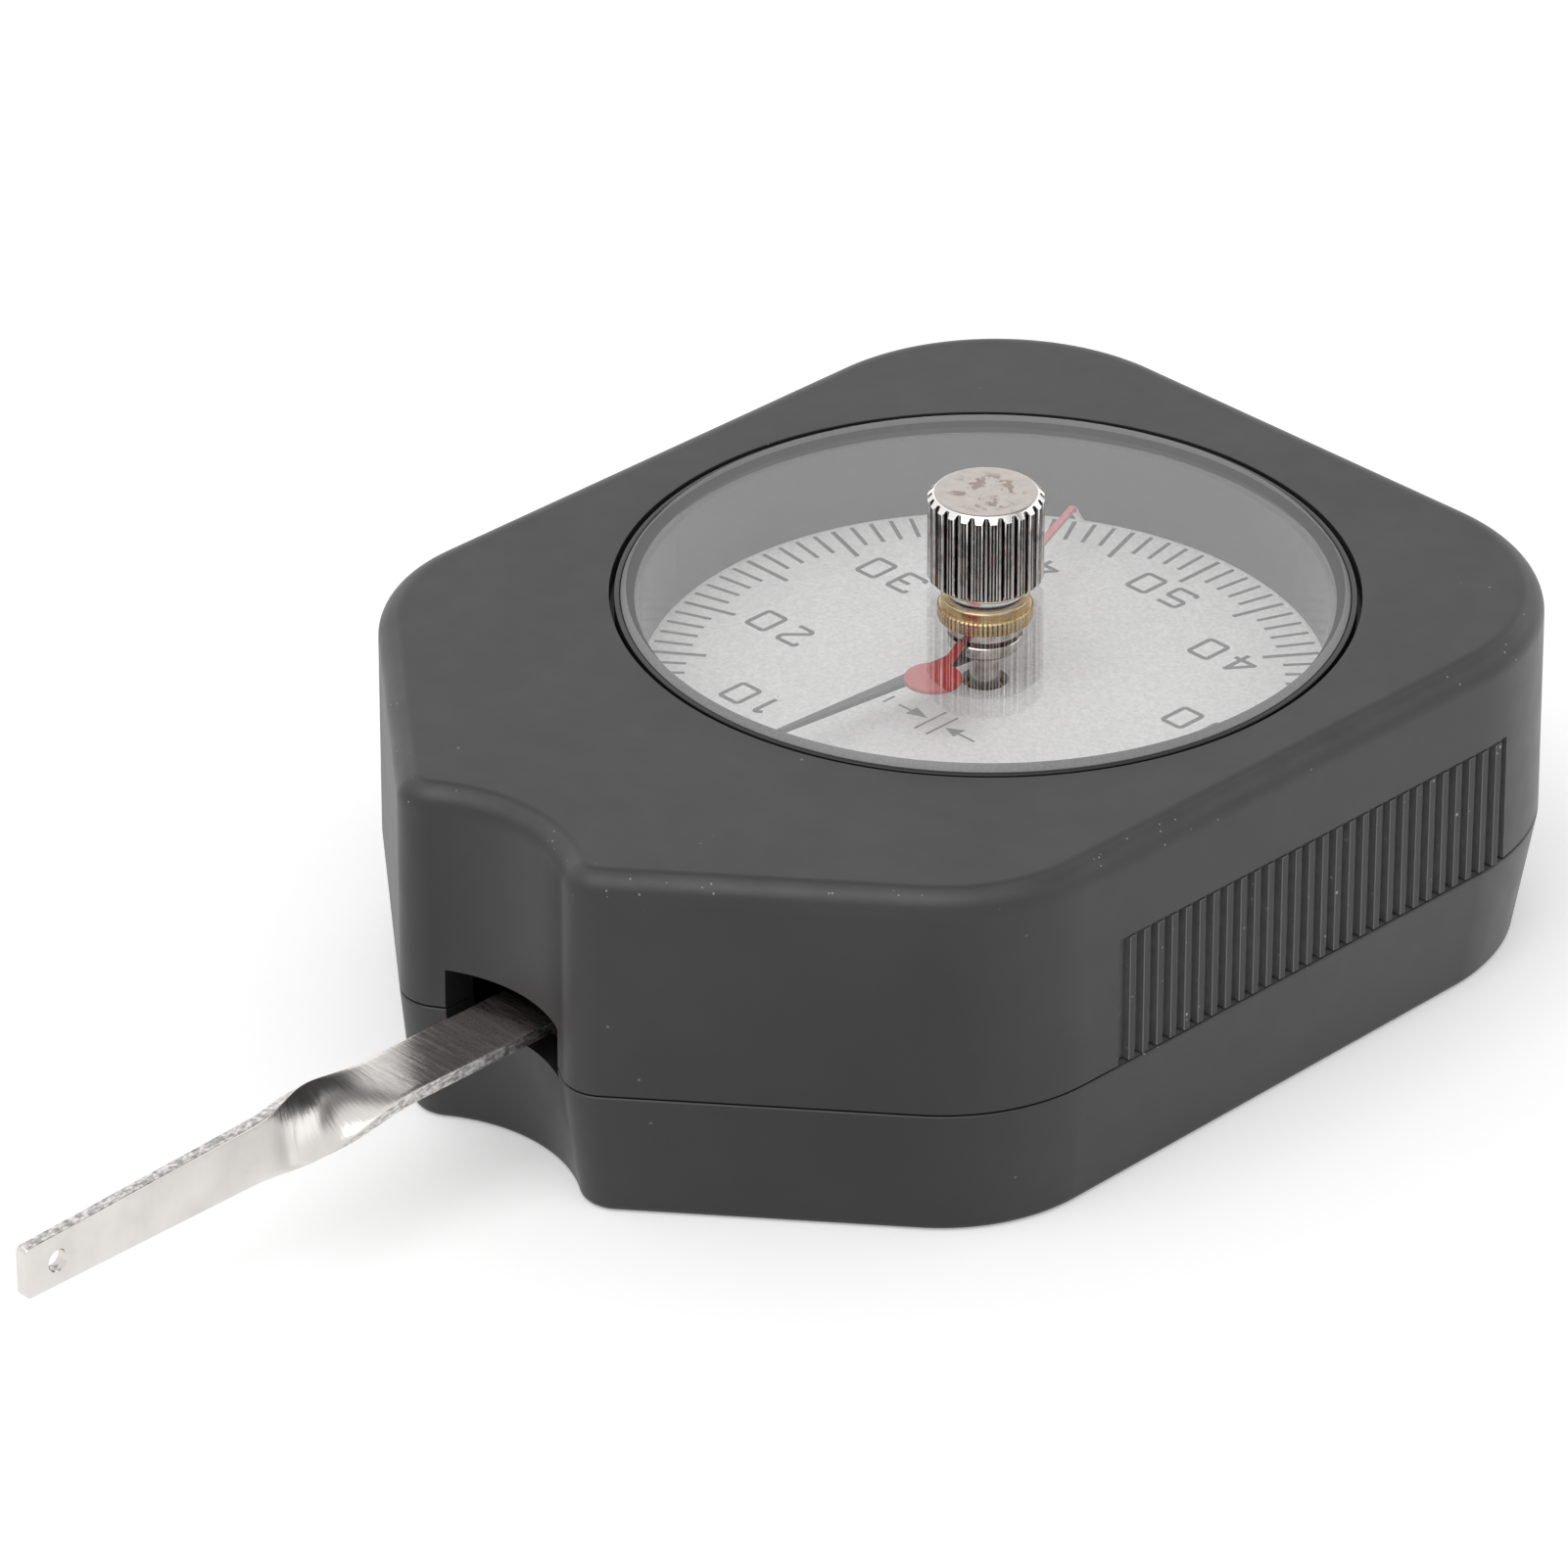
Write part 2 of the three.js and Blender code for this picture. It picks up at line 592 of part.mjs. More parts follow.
function toothedSector() {
  const pitch = 2 * Math.PI / SECTOR_FULL_TEETH;
  const outer = [];
  for (let i = 0; i < SECTOR_TEETH; i += 1) {
    const centre = (i + 0.5 - SECTOR_TEETH / 2) * pitch;
    outer.push(...tooth(SECTOR_FULL_TEETH, centre, SECTOR.root, SECTOR.tip, BACKLASH, 2));
  }
  const half = SECTOR_TEETH / 2 * pitch;
  const armAtRim = Math.asin(SECTOR.armHalfWidth / SECTOR.rim);
  const armAtHub = Math.asin(SECTOR.armHalfWidth / SECTOR.hub);
  const inner = [
    [SECTOR.root, half],
    ...arcSpots(SECTOR.rim, half, armAtRim, 6),
    ...arcSpots(SECTOR.hub, armAtHub, 2 * Math.PI - armAtHub, 16),
    ...arcSpots(SECTOR.rim, -armAtRim, -half, 6),
    [SECTOR.root, -half],
  ];
  const plate = prism(polygon([...outer, ...inner].map(fromPivot)), SECTOR_Z.bottom, SECTOR_Z.top);
  return cut(plate,
    ...pivotHoles(SECTOR_Z.bottom, SECTOR_Z.top));
}

function arcSpots(radius, from, to, steps) {
  return Array.from({ length: steps + 1 }, (_, i) => [radius, from + (to - from) * i / steps]);
}

// The holes for the lever shaft and its two rivets
const pivotHoles = (bottom, top) => [
  rod(SHAFT.radius + SLIP, bottom - 1, top + 1, COARSE, 0, PIVOT_Y),
  ...RIVET_SPOTS.map(([x, y]) => rod(RIVET_R + SLIP, bottom - 1, top + 1, HIDDEN, x, y)),
];

// Lever: flat strip from the pivot, a quarter twist, then an upright blade with a hole

const TWIST = { start: -48.2, end: -60.5, ease: 1.5, steps: 28 };
const LEVER_Z = LEVER_TOP - LEVER_THICKNESS / 2;
const LEVER_HOLE = { y: -75.5, z: 8.95, radius: 0.65 };
const BLADE = { upperRoot: 1.9, upperTip: 1.17, lower: 2.16, corner: 0.35 };

// Half-widths of the strip above and below its middle line at one place along it
function leverWidths(y) {
  const twisted = THREE.MathUtils.clamp((TWIST.start - y) / (TWIST.start - TWIST.end), 0, 1);
  const along = THREE.MathUtils.clamp((TWIST.end - y) / (TWIST.end - LEVER_TIP_Y), 0, 1);
  const root = THREE.MathUtils.lerp(LEVER_HALF_WIDTH, BLADE.upperRoot, twisted);
  const upper = root + (BLADE.upperTip - BLADE.upperRoot) * along;
  const lower = THREE.MathUtils.lerp(LEVER_HALF_WIDTH, BLADE.lower, twisted);
  const toTip = y - LEVER_TIP_Y;
  const corner = Math.max(0, BLADE.corner - toTip);
  return { upper: upper - corner, lower: lower - corner };
}

function leverRing(y) {
  const turn = THREE.MathUtils.smoothstep(-y, -TWIST.start, -TWIST.end);
  const twist = Math.PI / 2 * turn ** TWIST.ease;
  const { upper, lower } = leverWidths(y);
  const half = LEVER_THICKNESS / 2;
  const corners = [[-upper, -half], [lower, -half], [lower, half], [-upper, half]];
  return corners.map(([u, v]) => [
    u * Math.cos(twist) + v * Math.sin(twist),
    y,
    LEVER_Z - u * Math.sin(twist) + v * Math.cos(twist),
  ]);
}

function lever() {
  const stations = [LEVER_HEEL_Y, -40];
  for (let i = 0; i <= TWIST.steps; i += 1) {
    stations.push(THREE.MathUtils.lerp(TWIST.start, TWIST.end, i / TWIST.steps));
  }
  stations.push(-68, LEVER_TIP_Y + BLADE.corner, LEVER_TIP_Y);
  const strip = loft(stations.map(leverRing));
  const hole = new THREE.CylinderGeometry(LEVER_HOLE.radius, LEVER_HOLE.radius, 4, 24);
  hole.rotateZ(Math.PI / 2);
  hole.translate(0, LEVER_HOLE.y, LEVER_HOLE.z);
  return cut(strip, hole, ...pivotHoles(LEVER_Z, LEVER_Z));
}

const rivet = ([x, y]) => turned([
  [0, SECTOR_Z.bottom - 0.3],
  [0.8, SECTOR_Z.bottom - 0.2],
  [0.8, SECTOR_Z.bottom - SLIP],
  [RIVET_R, SECTOR_Z.bottom - SLIP],
  [RIVET_R, LEVER_TOP + 0.2],
  [0, LEVER_TOP + 0.2],
], HIDDEN, x, y);

// Shafts and bushes

const PIVOT_END = BASE_PLATE.bottom + 0.1;
const ARBOR_END = POINTER_BOSS.top - 0.02;

const arbor = () => turned([
  [0, PIVOT_END],
  [ARBOR.pivot, PIVOT_END],
  [ARBOR.pivot, ARBOR.shoulder],
  [ARBOR.radius, ARBOR.shoulder],
  [ARBOR.radius, POINTER_Z.bottom - SLIP],
  [ARBOR.pivot, POINTER_Z.bottom - SLIP],
  [ARBOR.pivot, ARBOR_END],
  [0, ARBOR_END],
], COARSE);

const leverShaft = () => turned([
  [0, PIVOT_END],
  [SHAFT.pivot, PIVOT_END],
  [SHAFT.pivot, SHAFT.lowerShoulder],
  [SHAFT.radius, SHAFT.lowerShoulder],
  [SHAFT.radius, SHAFT.upperShoulder],
  [SHAFT.pivot, SHAFT.upperShoulder],
  [SHAFT.pivot, TOP_PLATE.top + 0.2],
  [0, TOP_PLATE.top + 0.2],
], COARSE, 0, PIVOT_Y);

const bush = (bore, outer, [bottom, top], y = 0) => ring(bore, outer, bottom, top, COARSE, 0, y);
const LOWER_BUSH_Z = [2.65, 4.1];
const UPPER_BUSH_Z = [12, 13.4];
const DIAL_BUSH_Z = [TOP_PLATE.bottom + SLIP, 15.3];
const PIVOT_PLAY = 0.05;
const ARBOR_PLAY = 0.1;

// Plates, pillars, posts and pins

const PILLAR_SPOTS = [[10, 9], [-10, 9], [9.5, -26], [-9.5, -26]];
const DIAL_FOOT_SPOTS = [[0, 16.5], [14.3, -8.2], [-14.3, -8.2]];
const STOP_SPOTS = [[5.65, -22.7], [-5.65, -22.7]];

// Outline of a plate: a disc about the dial axis joined to a rounded tongue at the lever pivot
function plateOutline(discR, tongueHalfWidth) {
  const meet = -Math.sqrt(discR ** 2 - tongueHalfWidth ** 2);
  const end = PIVOT_Y + 1;
  const start = Math.atan2(meet, tongueHalfWidth);
  const corner = 3;
  return polygon([
    ...arc(0, 0, discR, start, Math.PI - start, 28),
    ...arc(-tongueHalfWidth + corner, end, corner, Math.PI, 1.5 * Math.PI, 3),
    ...arc(tongueHalfWidth - corner, end, corner, -Math.PI / 2, 0, 3),
  ]);
}

function plate(discR, tongueHalfWidth, { bottom, top }, holes) {
  return cut(prism(plateOutline(discR, tongueHalfWidth), bottom, top),
    ...holes.map(([x, y, radius]) => rod(radius, bottom - 1, top + 1, HIDDEN, x, y)));
}

const basePlate = () => plate(15.5, 11.5, BASE_PLATE, [
  [0, 0, BUSH_R + SLIP],
  [0, PIVOT_Y, BUSH_R + SLIP],
  ...PILLAR_SPOTS.map(([x, y]) => [x, y, 1]),
  ...STOP_SPOTS.map(([x, y]) => [x, y, 0.55]),
  ...BASE_SCREW_SPOTS.map(([x, y]) => [x, y, 0.9]),
  [SPRING_STUD.x, SPRING_STUD.y, 0.6],
]);

const topPlate = () => plate(18.5, 11.5, TOP_PLATE, [
  [0, 0, UPPER_BUSH_R + SLIP],
  [0, PIVOT_Y, BUSH_R + SLIP],
  ...PILLAR_SPOTS.map(([x, y]) => [x, y, 0.85]),
  ...DIAL_FOOT_SPOTS.map(([x, y]) => [x, y, 0.75]),
  [HAIR_STUD.x, HAIR_STUD.y, 0.6],
]);

const pillar = ([x, y]) => cut(turned([
  [0, BASE_PLATE.bottom + SLIP],
  [0.9, BASE_PLATE.bottom + SLIP],
  [0.9, BASE_PLATE.top + SLIP],
  [1.6, BASE_PLATE.top + SLIP],
  [1.6, TOP_PLATE.bottom - SLIP],
  [0, TOP_PLATE.bottom - SLIP],
], HIDDEN, x, y), rod(0.78, TOP_PLATE.bottom - 2.5, TOP_PLATE.top, HIDDEN, x, y));

const stopPin = ([x, y]) => turned([
  [0, BASE_PLATE.bottom + SLIP],
  [0.5, BASE_PLATE.bottom + SLIP],
  [0.5, BASE_PLATE.top + SLIP],
  [0.8, BASE_PLATE.top + SLIP],
  [0.8, SECTOR_Z.top + 0.3],
  [0, SECTOR_Z.top + 0.3],
], HIDDEN, x, y);

const dialFoot = ([x, y]) => turned([
  [0, TOP_PLATE.bottom + SLIP],
  [0.7, TOP_PLATE.bottom + SLIP],
  [0.7, TOP_PLATE.top + SLIP],
  [1.3, TOP_PLATE.top + SLIP],
  [1.3, DIAL_TOP - DIAL_THICKNESS - SLIP],
  [0, DIAL_TOP - DIAL_THICKNESS - SLIP],
], HIDDEN, x, y);

// Screws: a slotted head that faces down or up, and a plain shank

function screw([x, y], { headR, headBottom, headTop, shankR, shankEnd }) {
  const pointsUp = shankEnd > headTop;
  const face = pointsUp ? headBottom : headTop;
  const seat = pointsUp ? headTop : headBottom;
  const chamfer = 0.2;
  const slotShare = 0.45;
  const body = turned([
    [0, face],
    [headR - chamfer, face],
    [headR, face + Math.sign(seat - face) * chamfer],
    [headR, seat],
    [shankR, seat],
    [shankR, shankEnd],
    [0, shankEnd],
  ], COARSE, x, y);
  const slotDepth = Math.abs(seat - face) * slotShare;
  const slot = block(headR * 2.4, headR * 0.32, face - slotDepth, face + slotDepth, x, y);
  return cut(body, slot);
}

const CASE_SCREW = { headR: 1.9, headBottom: 0.3, headTop: 1.45, shankR: 1.1, shankEnd: 14.5 };
const PLATE_SCREW = {
  headR: 1.35, headTop: TOP_PLATE.top + 0.85, headBottom: TOP_PLATE.top + SLIP,
  shankR: 0.7, shankEnd: TOP_PLATE.bottom - 2.2,
};
const BASE_SCREW = {
  headR: 1.4, headTop: BASE_PLATE.top + 0.85, headBottom: BASE_PLATE.top + SLIP,
  shankR: 0.72, shankEnd: 1,
};

// Springs: flat spirals, one unbroken strip each, with a collet on the shaft and a stud

function spiralSpring({ inner, outer, turns, thickness, bottom, top, y, name }) {
  const steps = Math.round(turns * COARSE);
  const edge = (offset) => Array.from({ length: steps + 1 }, (_, i) => {
    const angle = 2 * Math.PI * turns * i / steps;
    const radius = inner + (outer - inner) * i / steps + offset;
    return [radius * Math.cos(angle), y + radius * Math.sin(angle)];
  });
  const inside = edge(-thickness / 2);
  const outside = edge(thickness / 2);
  console.log(`${name}: least gap between turns ${leastGap(inside, outside).toFixed(2)} mm`);
  return prism(polygon([...outside, ...inside.reverse()]), bottom, top);
}

// Least distance from a turn's outer edge to the next turn's inner edge
function leastGap(inside, outside) {
  const turn = COARSE;
  let least = Infinity;
  for (let i = 0; i + turn < inside.length; i += 1) {
    const [x0, y0] = outside[i];
    const [x1, y1] = inside[i + turn];
    least = Math.min(least, Math.hypot(x1 - x0, y1 - y0));
  }
  return least;
}

const MEASURING_SPRING = {
  name: 'measuring_spring', inner: 2.7, outer: 4.9, turns: 2.5, thickness: 0.35,
  bottom: 10.45, top: 11.45, y: PIVOT_Y,
};
const HAIRSPRING = {
  name: 'hairspring', inner: 2.1, outer: 5.7, turns: 4.5, thickness: 0.15,
  bottom: 10.4, top: 10.9, y: 0,
};
const SPRING_STUD_TOP = MEASURING_SPRING.top + 0.15;
const HAIR_STUD_BOTTOM = HAIRSPRING.bottom - 0.2;

const collet = (bore, outer, bottom, top, y) => cut(
  ring(bore, outer, bottom, top, COARSE, 0, y),
  block(outer, 0.3, bottom - 1, top + 1, outer / 2 + bore * 0.3, y),
);

const springStud = () => turned([
  [0, BASE_PLATE.bottom + SLIP],
  [STUD_R, BASE_PLATE.bottom + SLIP],
  [STUD_R, SPRING_STUD_TOP],
  [0, SPRING_STUD_TOP],
], HIDDEN, SPRING_STUD.x, SPRING_STUD.y);

const hairStud = () => turned([
  [0, HAIR_STUD_BOTTOM],
  [STUD_R, HAIR_STUD_BOTTOM],
  [STUD_R, TOP_PLATE.top - SLIP],
  [0, TOP_PLATE.top - SLIP],
], HIDDEN, HAIR_STUD.x, HAIR_STUD.y);

// Assembly

const gauge = new THREE.Group();
gauge.name = 'dial_tension_gauge';

function add(name, piece, material) {
  const geometry = piece instanceof wasm.Manifold ? fromManifold(piece) : closed(piece);
  geometry.computeVertexNormals();
  const mesh = new THREE.Mesh(geometry, material);
  mesh.name = name;
  gauge.add(mesh);
}

const addEach = (name, spots, make, material) => spots.forEach((spot, i) => {
  add(`${name}_${i + 1}`, make(spot), material);
});

add('upper_case', upperCase(), MATERIAL.case);
add('lower_case', lowerCase(), MATERIAL.case);
addEach('case_screw', SCREW_SPOTS, (spot) => screw(spot, CASE_SCREW), MATERIAL.steel);

add('dial_glass', glass(), MATERIAL.glass);
add('glass_ring', glassRing(), MATERIAL.ring);
add('dial_plate', dialPlate(), MATERIAL.dial);
add('main_pointer', mainPointer(), MATERIAL.pointer);
add('drag_pointer', dragPointer(), MATERIAL.red);
add('drag_hub', dragHub(), MATERIAL.nickel);
add('drag_cap', dragCap(), MATERIAL.nickel);
add('knob', knob(), MATERIAL.nickel);
add('knob_bush', knobBush(), MATERIAL.brass);
add('friction_washer', frictionWasher(), MATERIAL.washer);

add('base_plate', basePlate(), MATERIAL.brass);
add('top_plate', topPlate(), MATERIAL.brass);
addEach('pillar', PILLAR_SPOTS, pillar, MATERIAL.brass);
addEach('plate_screw', PILLAR_SPOTS, (spot) => screw(spot, PLATE_SCREW), MATERIAL.steel);
addEach('base_screw', BASE_SCREW_SPOTS, (spot) => screw(spot, BASE_SCREW), MATERIAL.steel);
addEach('dial_foot', DIAL_FOOT_SPOTS, dialFoot, MATERIAL.brass);
addEach('stop_pin', STOP_SPOTS, stopPin, MATERIAL.steel);

add('arbor', arbor(), MATERIAL.steel);
add('arbor_lower_bush', bush(ARBOR.pivot + PIVOT_PLAY, BUSH_R, LOWER_BUSH_Z), MATERIAL.brass);
add('arbor_upper_bush', bush(ARBOR.radius + ARBOR_PLAY, UPPER_BUSH_R, DIAL_BUSH_Z), MATERIAL.brass);
add('pinion', pinion(), MATERIAL.steel);
add('lever', lever(), MATERIAL.nickel);
add('toothed_sector', toothedSector(), MATERIAL.brass);
addEach('lever_rivet', RIVET_SPOTS, rivet, MATERIAL.steel);
add('lever_shaft', leverShaft(), MATERIAL.steel);
add('shaft_lower_bush', bush(SHAFT.pivot + PIVOT_PLAY, BUSH_R, LOWER_BUSH_Z, PIVOT_Y), MATERIAL.brass);
add('shaft_upper_bush', bush(SHAFT.pivot + PIVOT_PLAY, BUSH_R, UPPER_BUSH_Z, PIVOT_Y), MATERIAL.brass);

add('measuring_spring', spiralSpring(MEASURING_SPRING), MATERIAL.spring);
add('spring_collet', collet(1.25, 2.3, 10.2, 11.6, PIVOT_Y), MATERIAL.brass);
add('spring_stud', springStud(), MATERIAL.brass);
add('hairspring', spiralSpring(HAIRSPRING), MATERIAL.spring);
add('hair_collet', collet(0.95, 1.7, 10, 11.2, 0), MATERIAL.brass);
add('hair_stud', hairStud(), MATERIAL.brass);

export default gauge;
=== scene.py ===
import json
import math

import bmesh
import bpy
from mathutils import Matrix, Vector


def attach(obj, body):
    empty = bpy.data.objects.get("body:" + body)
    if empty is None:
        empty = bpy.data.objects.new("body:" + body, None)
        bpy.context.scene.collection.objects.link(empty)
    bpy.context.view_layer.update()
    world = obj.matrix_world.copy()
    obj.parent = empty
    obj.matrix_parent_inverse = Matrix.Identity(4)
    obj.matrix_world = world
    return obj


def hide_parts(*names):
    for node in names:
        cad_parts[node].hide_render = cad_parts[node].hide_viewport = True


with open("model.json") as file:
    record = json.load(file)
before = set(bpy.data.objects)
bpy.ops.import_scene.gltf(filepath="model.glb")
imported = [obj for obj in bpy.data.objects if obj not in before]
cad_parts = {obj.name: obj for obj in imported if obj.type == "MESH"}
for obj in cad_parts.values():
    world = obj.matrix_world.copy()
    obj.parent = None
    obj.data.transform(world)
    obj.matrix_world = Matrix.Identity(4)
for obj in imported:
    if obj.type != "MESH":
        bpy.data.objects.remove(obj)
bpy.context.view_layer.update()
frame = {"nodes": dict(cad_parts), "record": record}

MM = 0.001
NODES = frame["nodes"]

# Main dimensions in millimetres, as in the part's source

HALF_WIDTH = 27.8
BACK_Y = 29.1
BACK_CORNER_R = 14.3
CHAMFER_ANGLE = math.radians(-51)
CHAMFER_DISTANCE = 37.25
SIDE_CORNER_R = 12
HORN_R = 2.6
NOTCH_R = 10
NOTCH_Y = -39.3
CASE_TOP = 23.2
SEAM_Z = 8.4
SEAM_GAP = 0.1
WALL = 2
FLOOR = 2
TOP_EDGE_R = 1.6
TOP_DRAFT = 0.1
BOTTOM_EDGE_R = 0.5
BOTTOM_DRAFT = 0.66
BOTTOM_NOTCH_Y = -38.9
BOTTOM_HORN_R = 3.1
TAPER_FROM, TAPER_TO, TAPER_SHARE = -3, 18, 0.019
INNER_DRAFT = 0.5
ROOF = 2.4

OPENING_R = 23
WELL_R = 21.2
WELL_OUTER_R = 23.6
LEDGE_R = 21.45
GLASS_R = 22.3
GLASS_BOTTOM = 21.9
GLASS_TOP = 23.55
GLASS_BEVEL_WIDTH, GLASS_BEVEL_HEIGHT = 0.34, 0.42
GLASS_RING_R = 22.7
GLASS_HOLE_R = 2.25
DIAL_R = 22.4
DIAL_TOP = 15.9
DIAL_HOLE_R = 1.46
KNOB_R = 3.58
KNOB_TOP = 29.9
KNOB_TEETH = 24
BUSH_TEETH = 60
KNURL_DEPTH = 0.3
STEM_R = 1
STEM_HOLE_R = 1.05
GRIP_BOTTOM = 24
DRAG_BOTTOM = 19.25
POINTER_BOTTOM = 17.9
ARBOR_END = 18.53
HUB_R = 2.3
FLANGE_R, FLANGE_STEP_R, COLLAR_R = 2.95, 2.72, 2.15
FLANGE_BOTTOM, FLANGE_TOP = 20.35, 21.27
COLLAR_TOP = 23.35

SCREW_SPOTS = [(18.6, 19.6), (-18.6, 19.6), (19.4, -22.6), (-19.4, -22.6)]
BASE_SCREW_SPOTS = [(11, 3), (-11, 3), (0, -21)]
BOSS_R, POST_R, SCREW_HOLE_R, THREAD_HOLE_R = 2.3, 2, 1.2, 0.8
SLOT_X, SLOT_Z = (-4.95, 4.65), (7.7, 11.1)
GRIP_FRONT, GRIP_BACK, GRIP_TOP, GRIP_DEPTH = -16.85, 17.25, 17.1, 0.6
RIB_FIRST, RIB_PITCH, RIB_COUNT, RIB_HALF, RIB_DROP = -15.62, 1.1833, 28, 0.25, 0.17

LEVER_TIP_Y = -77.9
LEVER_HEEL_Y = -27.6
LEVER_Z = 9.455
LEVER_THICKNESS = 0.85
LEVER_HALF_WIDTH = 2.33
TWIST_START, TWIST_END, TWIST_EASE = -48.2, -60.5, 1.5
BLADE_UPPER, BLADE_LOWER, TIP_UPPER = 1.9, 2.16, 1.17
LEVER_HOLE_Y, LEVER_HOLE_Z, LEVER_HOLE_R = -75.5, 8.95, 0.65
PIVOT_Y = -31.5
PIVOT_R, RIVET_R, RIVET_OFFSET = 1.25, 0.55, 2.5


# Mesh helpers

def into_scene(name, data):
    obj = bpy.data.objects.new(name, data)
    bpy.context.scene.collection.objects.link(obj)
    return obj


def link(name, verts, faces):
    """A mesh object from millimetre points."""
    mesh = bpy.data.meshes.new(name)
    mesh.from_pydata([(x * MM, y * MM, z * MM) for x, y, z in verts], [], faces)
    mesh.validate()
    obj = into_scene(name, mesh)
    work = bmesh.new()
    work.from_mesh(mesh)
    bmesh.ops.recalc_face_normals(work, faces=work.faces)
    work.to_mesh(mesh)
    work.free()
    return obj


def clamp(value):
    return min(max(value, 0), 1)


def loft_data(rings, loop=False):
    """Vertices and faces through rings of the same number of points, with flat ends unless it loops."""
    count = len(rings[0])
    verts = [p for ring in rings for p in ring]
    faces = []
    levels = len(rings)
    for level in range(levels if loop else levels - 1):
        upper = (level + 1) % levels
        for i in range(count):
            j = (i + 1) % count
            faces.append((level * count + i, level * count + j, upper * count + j, upper * count + i))
    if not loop:
        faces.append(tuple(range(count))[::-1])
        faces.append(tuple((levels - 1) * count + i for i in range(count)))
    return verts, faces


def loft(name, rings, loop=False):
    return link(name, *loft_data(rings, loop))


def circle(radius, z, steps, x=0.0, y=0.0):
    turns = [2 * math.pi * i / steps for i in range(steps)]
    return [(x + radius * math.cos(a), y + radius * math.sin(a), z) for a in turns]


def lathe_data(profile, steps=128, x=0.0, y=0.0):
    """A turned solid. A profile that starts and ends off the axis closes on itself."""
    rings = [circle(r, z, steps, x, y) for r, z in profile if r > 0]
    return loft_data(rings, loop=len(rings) == len(profile))


def lathe(name, profile, steps=128, x=0.0, y=0.0):
    return link(name, *lathe_data(profile, steps, x, y))


def cylinder(name, radius, low, high, steps, x=0.0, y=0.0):
    return lathe(name, [(0, low), (radius, low), (radius, high)], steps, x, y)


def rounded(points, radius=0.1, steps=4, closed=True):
    """A profile or outline whose corners are rounded: each point is (a, b) or (a, b, radius)."""
    out = []
    count = len(points)
    for i, point in enumerate(points):
        here = Vector(point[:2])
        reach = point[2] if len(point) > 2 else radius
        ends = not closed and i in (0, count - 1)
        if ends or reach <= 0:
            out.append((here.x, here.y))
            continue
        before = Vector(points[i - 1][:2]) - here
        after = Vector(points[(i + 1) % count][:2]) - here
        angle = before.angle(after)
        if angle > math.pi - 0.02:
            out.append((here.x, here.y))
            continue
        cut = min(reach / math.tan(angle / 2), before.length * 0.45, after.length * 0.45)
        real = cut * math.tan(angle / 2)
        start = here + before.normalized() * cut
        middle = here + (before.normalized() + after.normalized()).normalized() * (real / math.sin(angle / 2))
        a0 = math.atan2(start.y - middle.y, start.x - middle.x)
        end = here + after.normalized() * cut
        a1 = math.atan2(end.y - middle.y, end.x - middle.x)
        turn = (a1 - a0 + math.pi) % (2 * math.pi) - math.pi
        for k in range(steps + 1):
            a = a0 + turn * k / steps
            out.append((middle.x + real * math.cos(a), middle.y + real * math.sin(a)))
    return out


def prism_data(shape, bottom, top):
    return loft_data([[(x, y, bottom) for x, y in shape], [(x, y, top) for x, y in shape]])


def merged(parts):
    """Several (verts, faces) pairs as one."""
    verts, faces = [], []
    for v, f in parts:
        shift = len(verts)
        verts += v
        faces += [tuple(i + shift for i in face) for face in f]
    return verts, faces


def box_data(x0, x1, y0, y1, z0, z1):
    return prism_data([(x0, y0), (x1, y0), (x1, y1), (x0, y1)], z0, z1)


def carve(obj, tools):
    """Cuts helper solids out of a solid, and removes them."""
    for tool in tools:
        modifier = obj.modifiers.new("cut", "BOOLEAN")
        modifier.operation = "DIFFERENCE"
        modifier.solver = "MANIFOLD"
        modifier.object = tool
        bpy.context.view_layer.update()
        result = bpy.data.meshes.new_from_object(obj.evaluated_get(bpy.context.evaluated_depsgraph_get()))
        obj.modifiers.clear()
        old = obj.data
        obj.data = result
        result.name = old.name + "_cut"
        bpy.data.meshes.remove(old)
    for tool in tools:
        mesh = tool.data
        bpy.data.objects.remove(tool)
        bpy.data.meshes.remove(mesh)
    return obj


def smooth(obj, degrees=35):
    """Smooth shading whose normals follow the large faces, so that flats stay flat."""
    obj.data.shade_smooth()
    obj.data.set_sharp_from_angle(angle=math.radians(degrees))
    modifier = obj.modifiers.new("face weights", "WEIGHTED_NORMAL")
    modifier.mode = "FACE_AREA"
    modifier.weight = 100
    modifier.keep_sharp = True


def keep_flats(obj):
    """Ends the smooth shading where a level face begins, so that it shows one even tone."""
    work = bmesh.new()
    work.from_mesh(obj.data)
    for edge in work.edges:
        level = [abs(face.normal.z) > 0.99999 for face in edge.link_faces]
        if any(level) and not all(level):
            edge.smooth = False
    work.to_mesh(obj.data)
    work.free()


def dress(obj, body, material, replaces=(), degrees=35):
    """Puts a finished piece on its body and its material."""
    smooth(obj, degrees)
    obj.data.materials.clear()
    obj.data.materials.append(material)
    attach(obj, body)
    if replaces:
        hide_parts(*replaces)
    return obj


# Material helpers

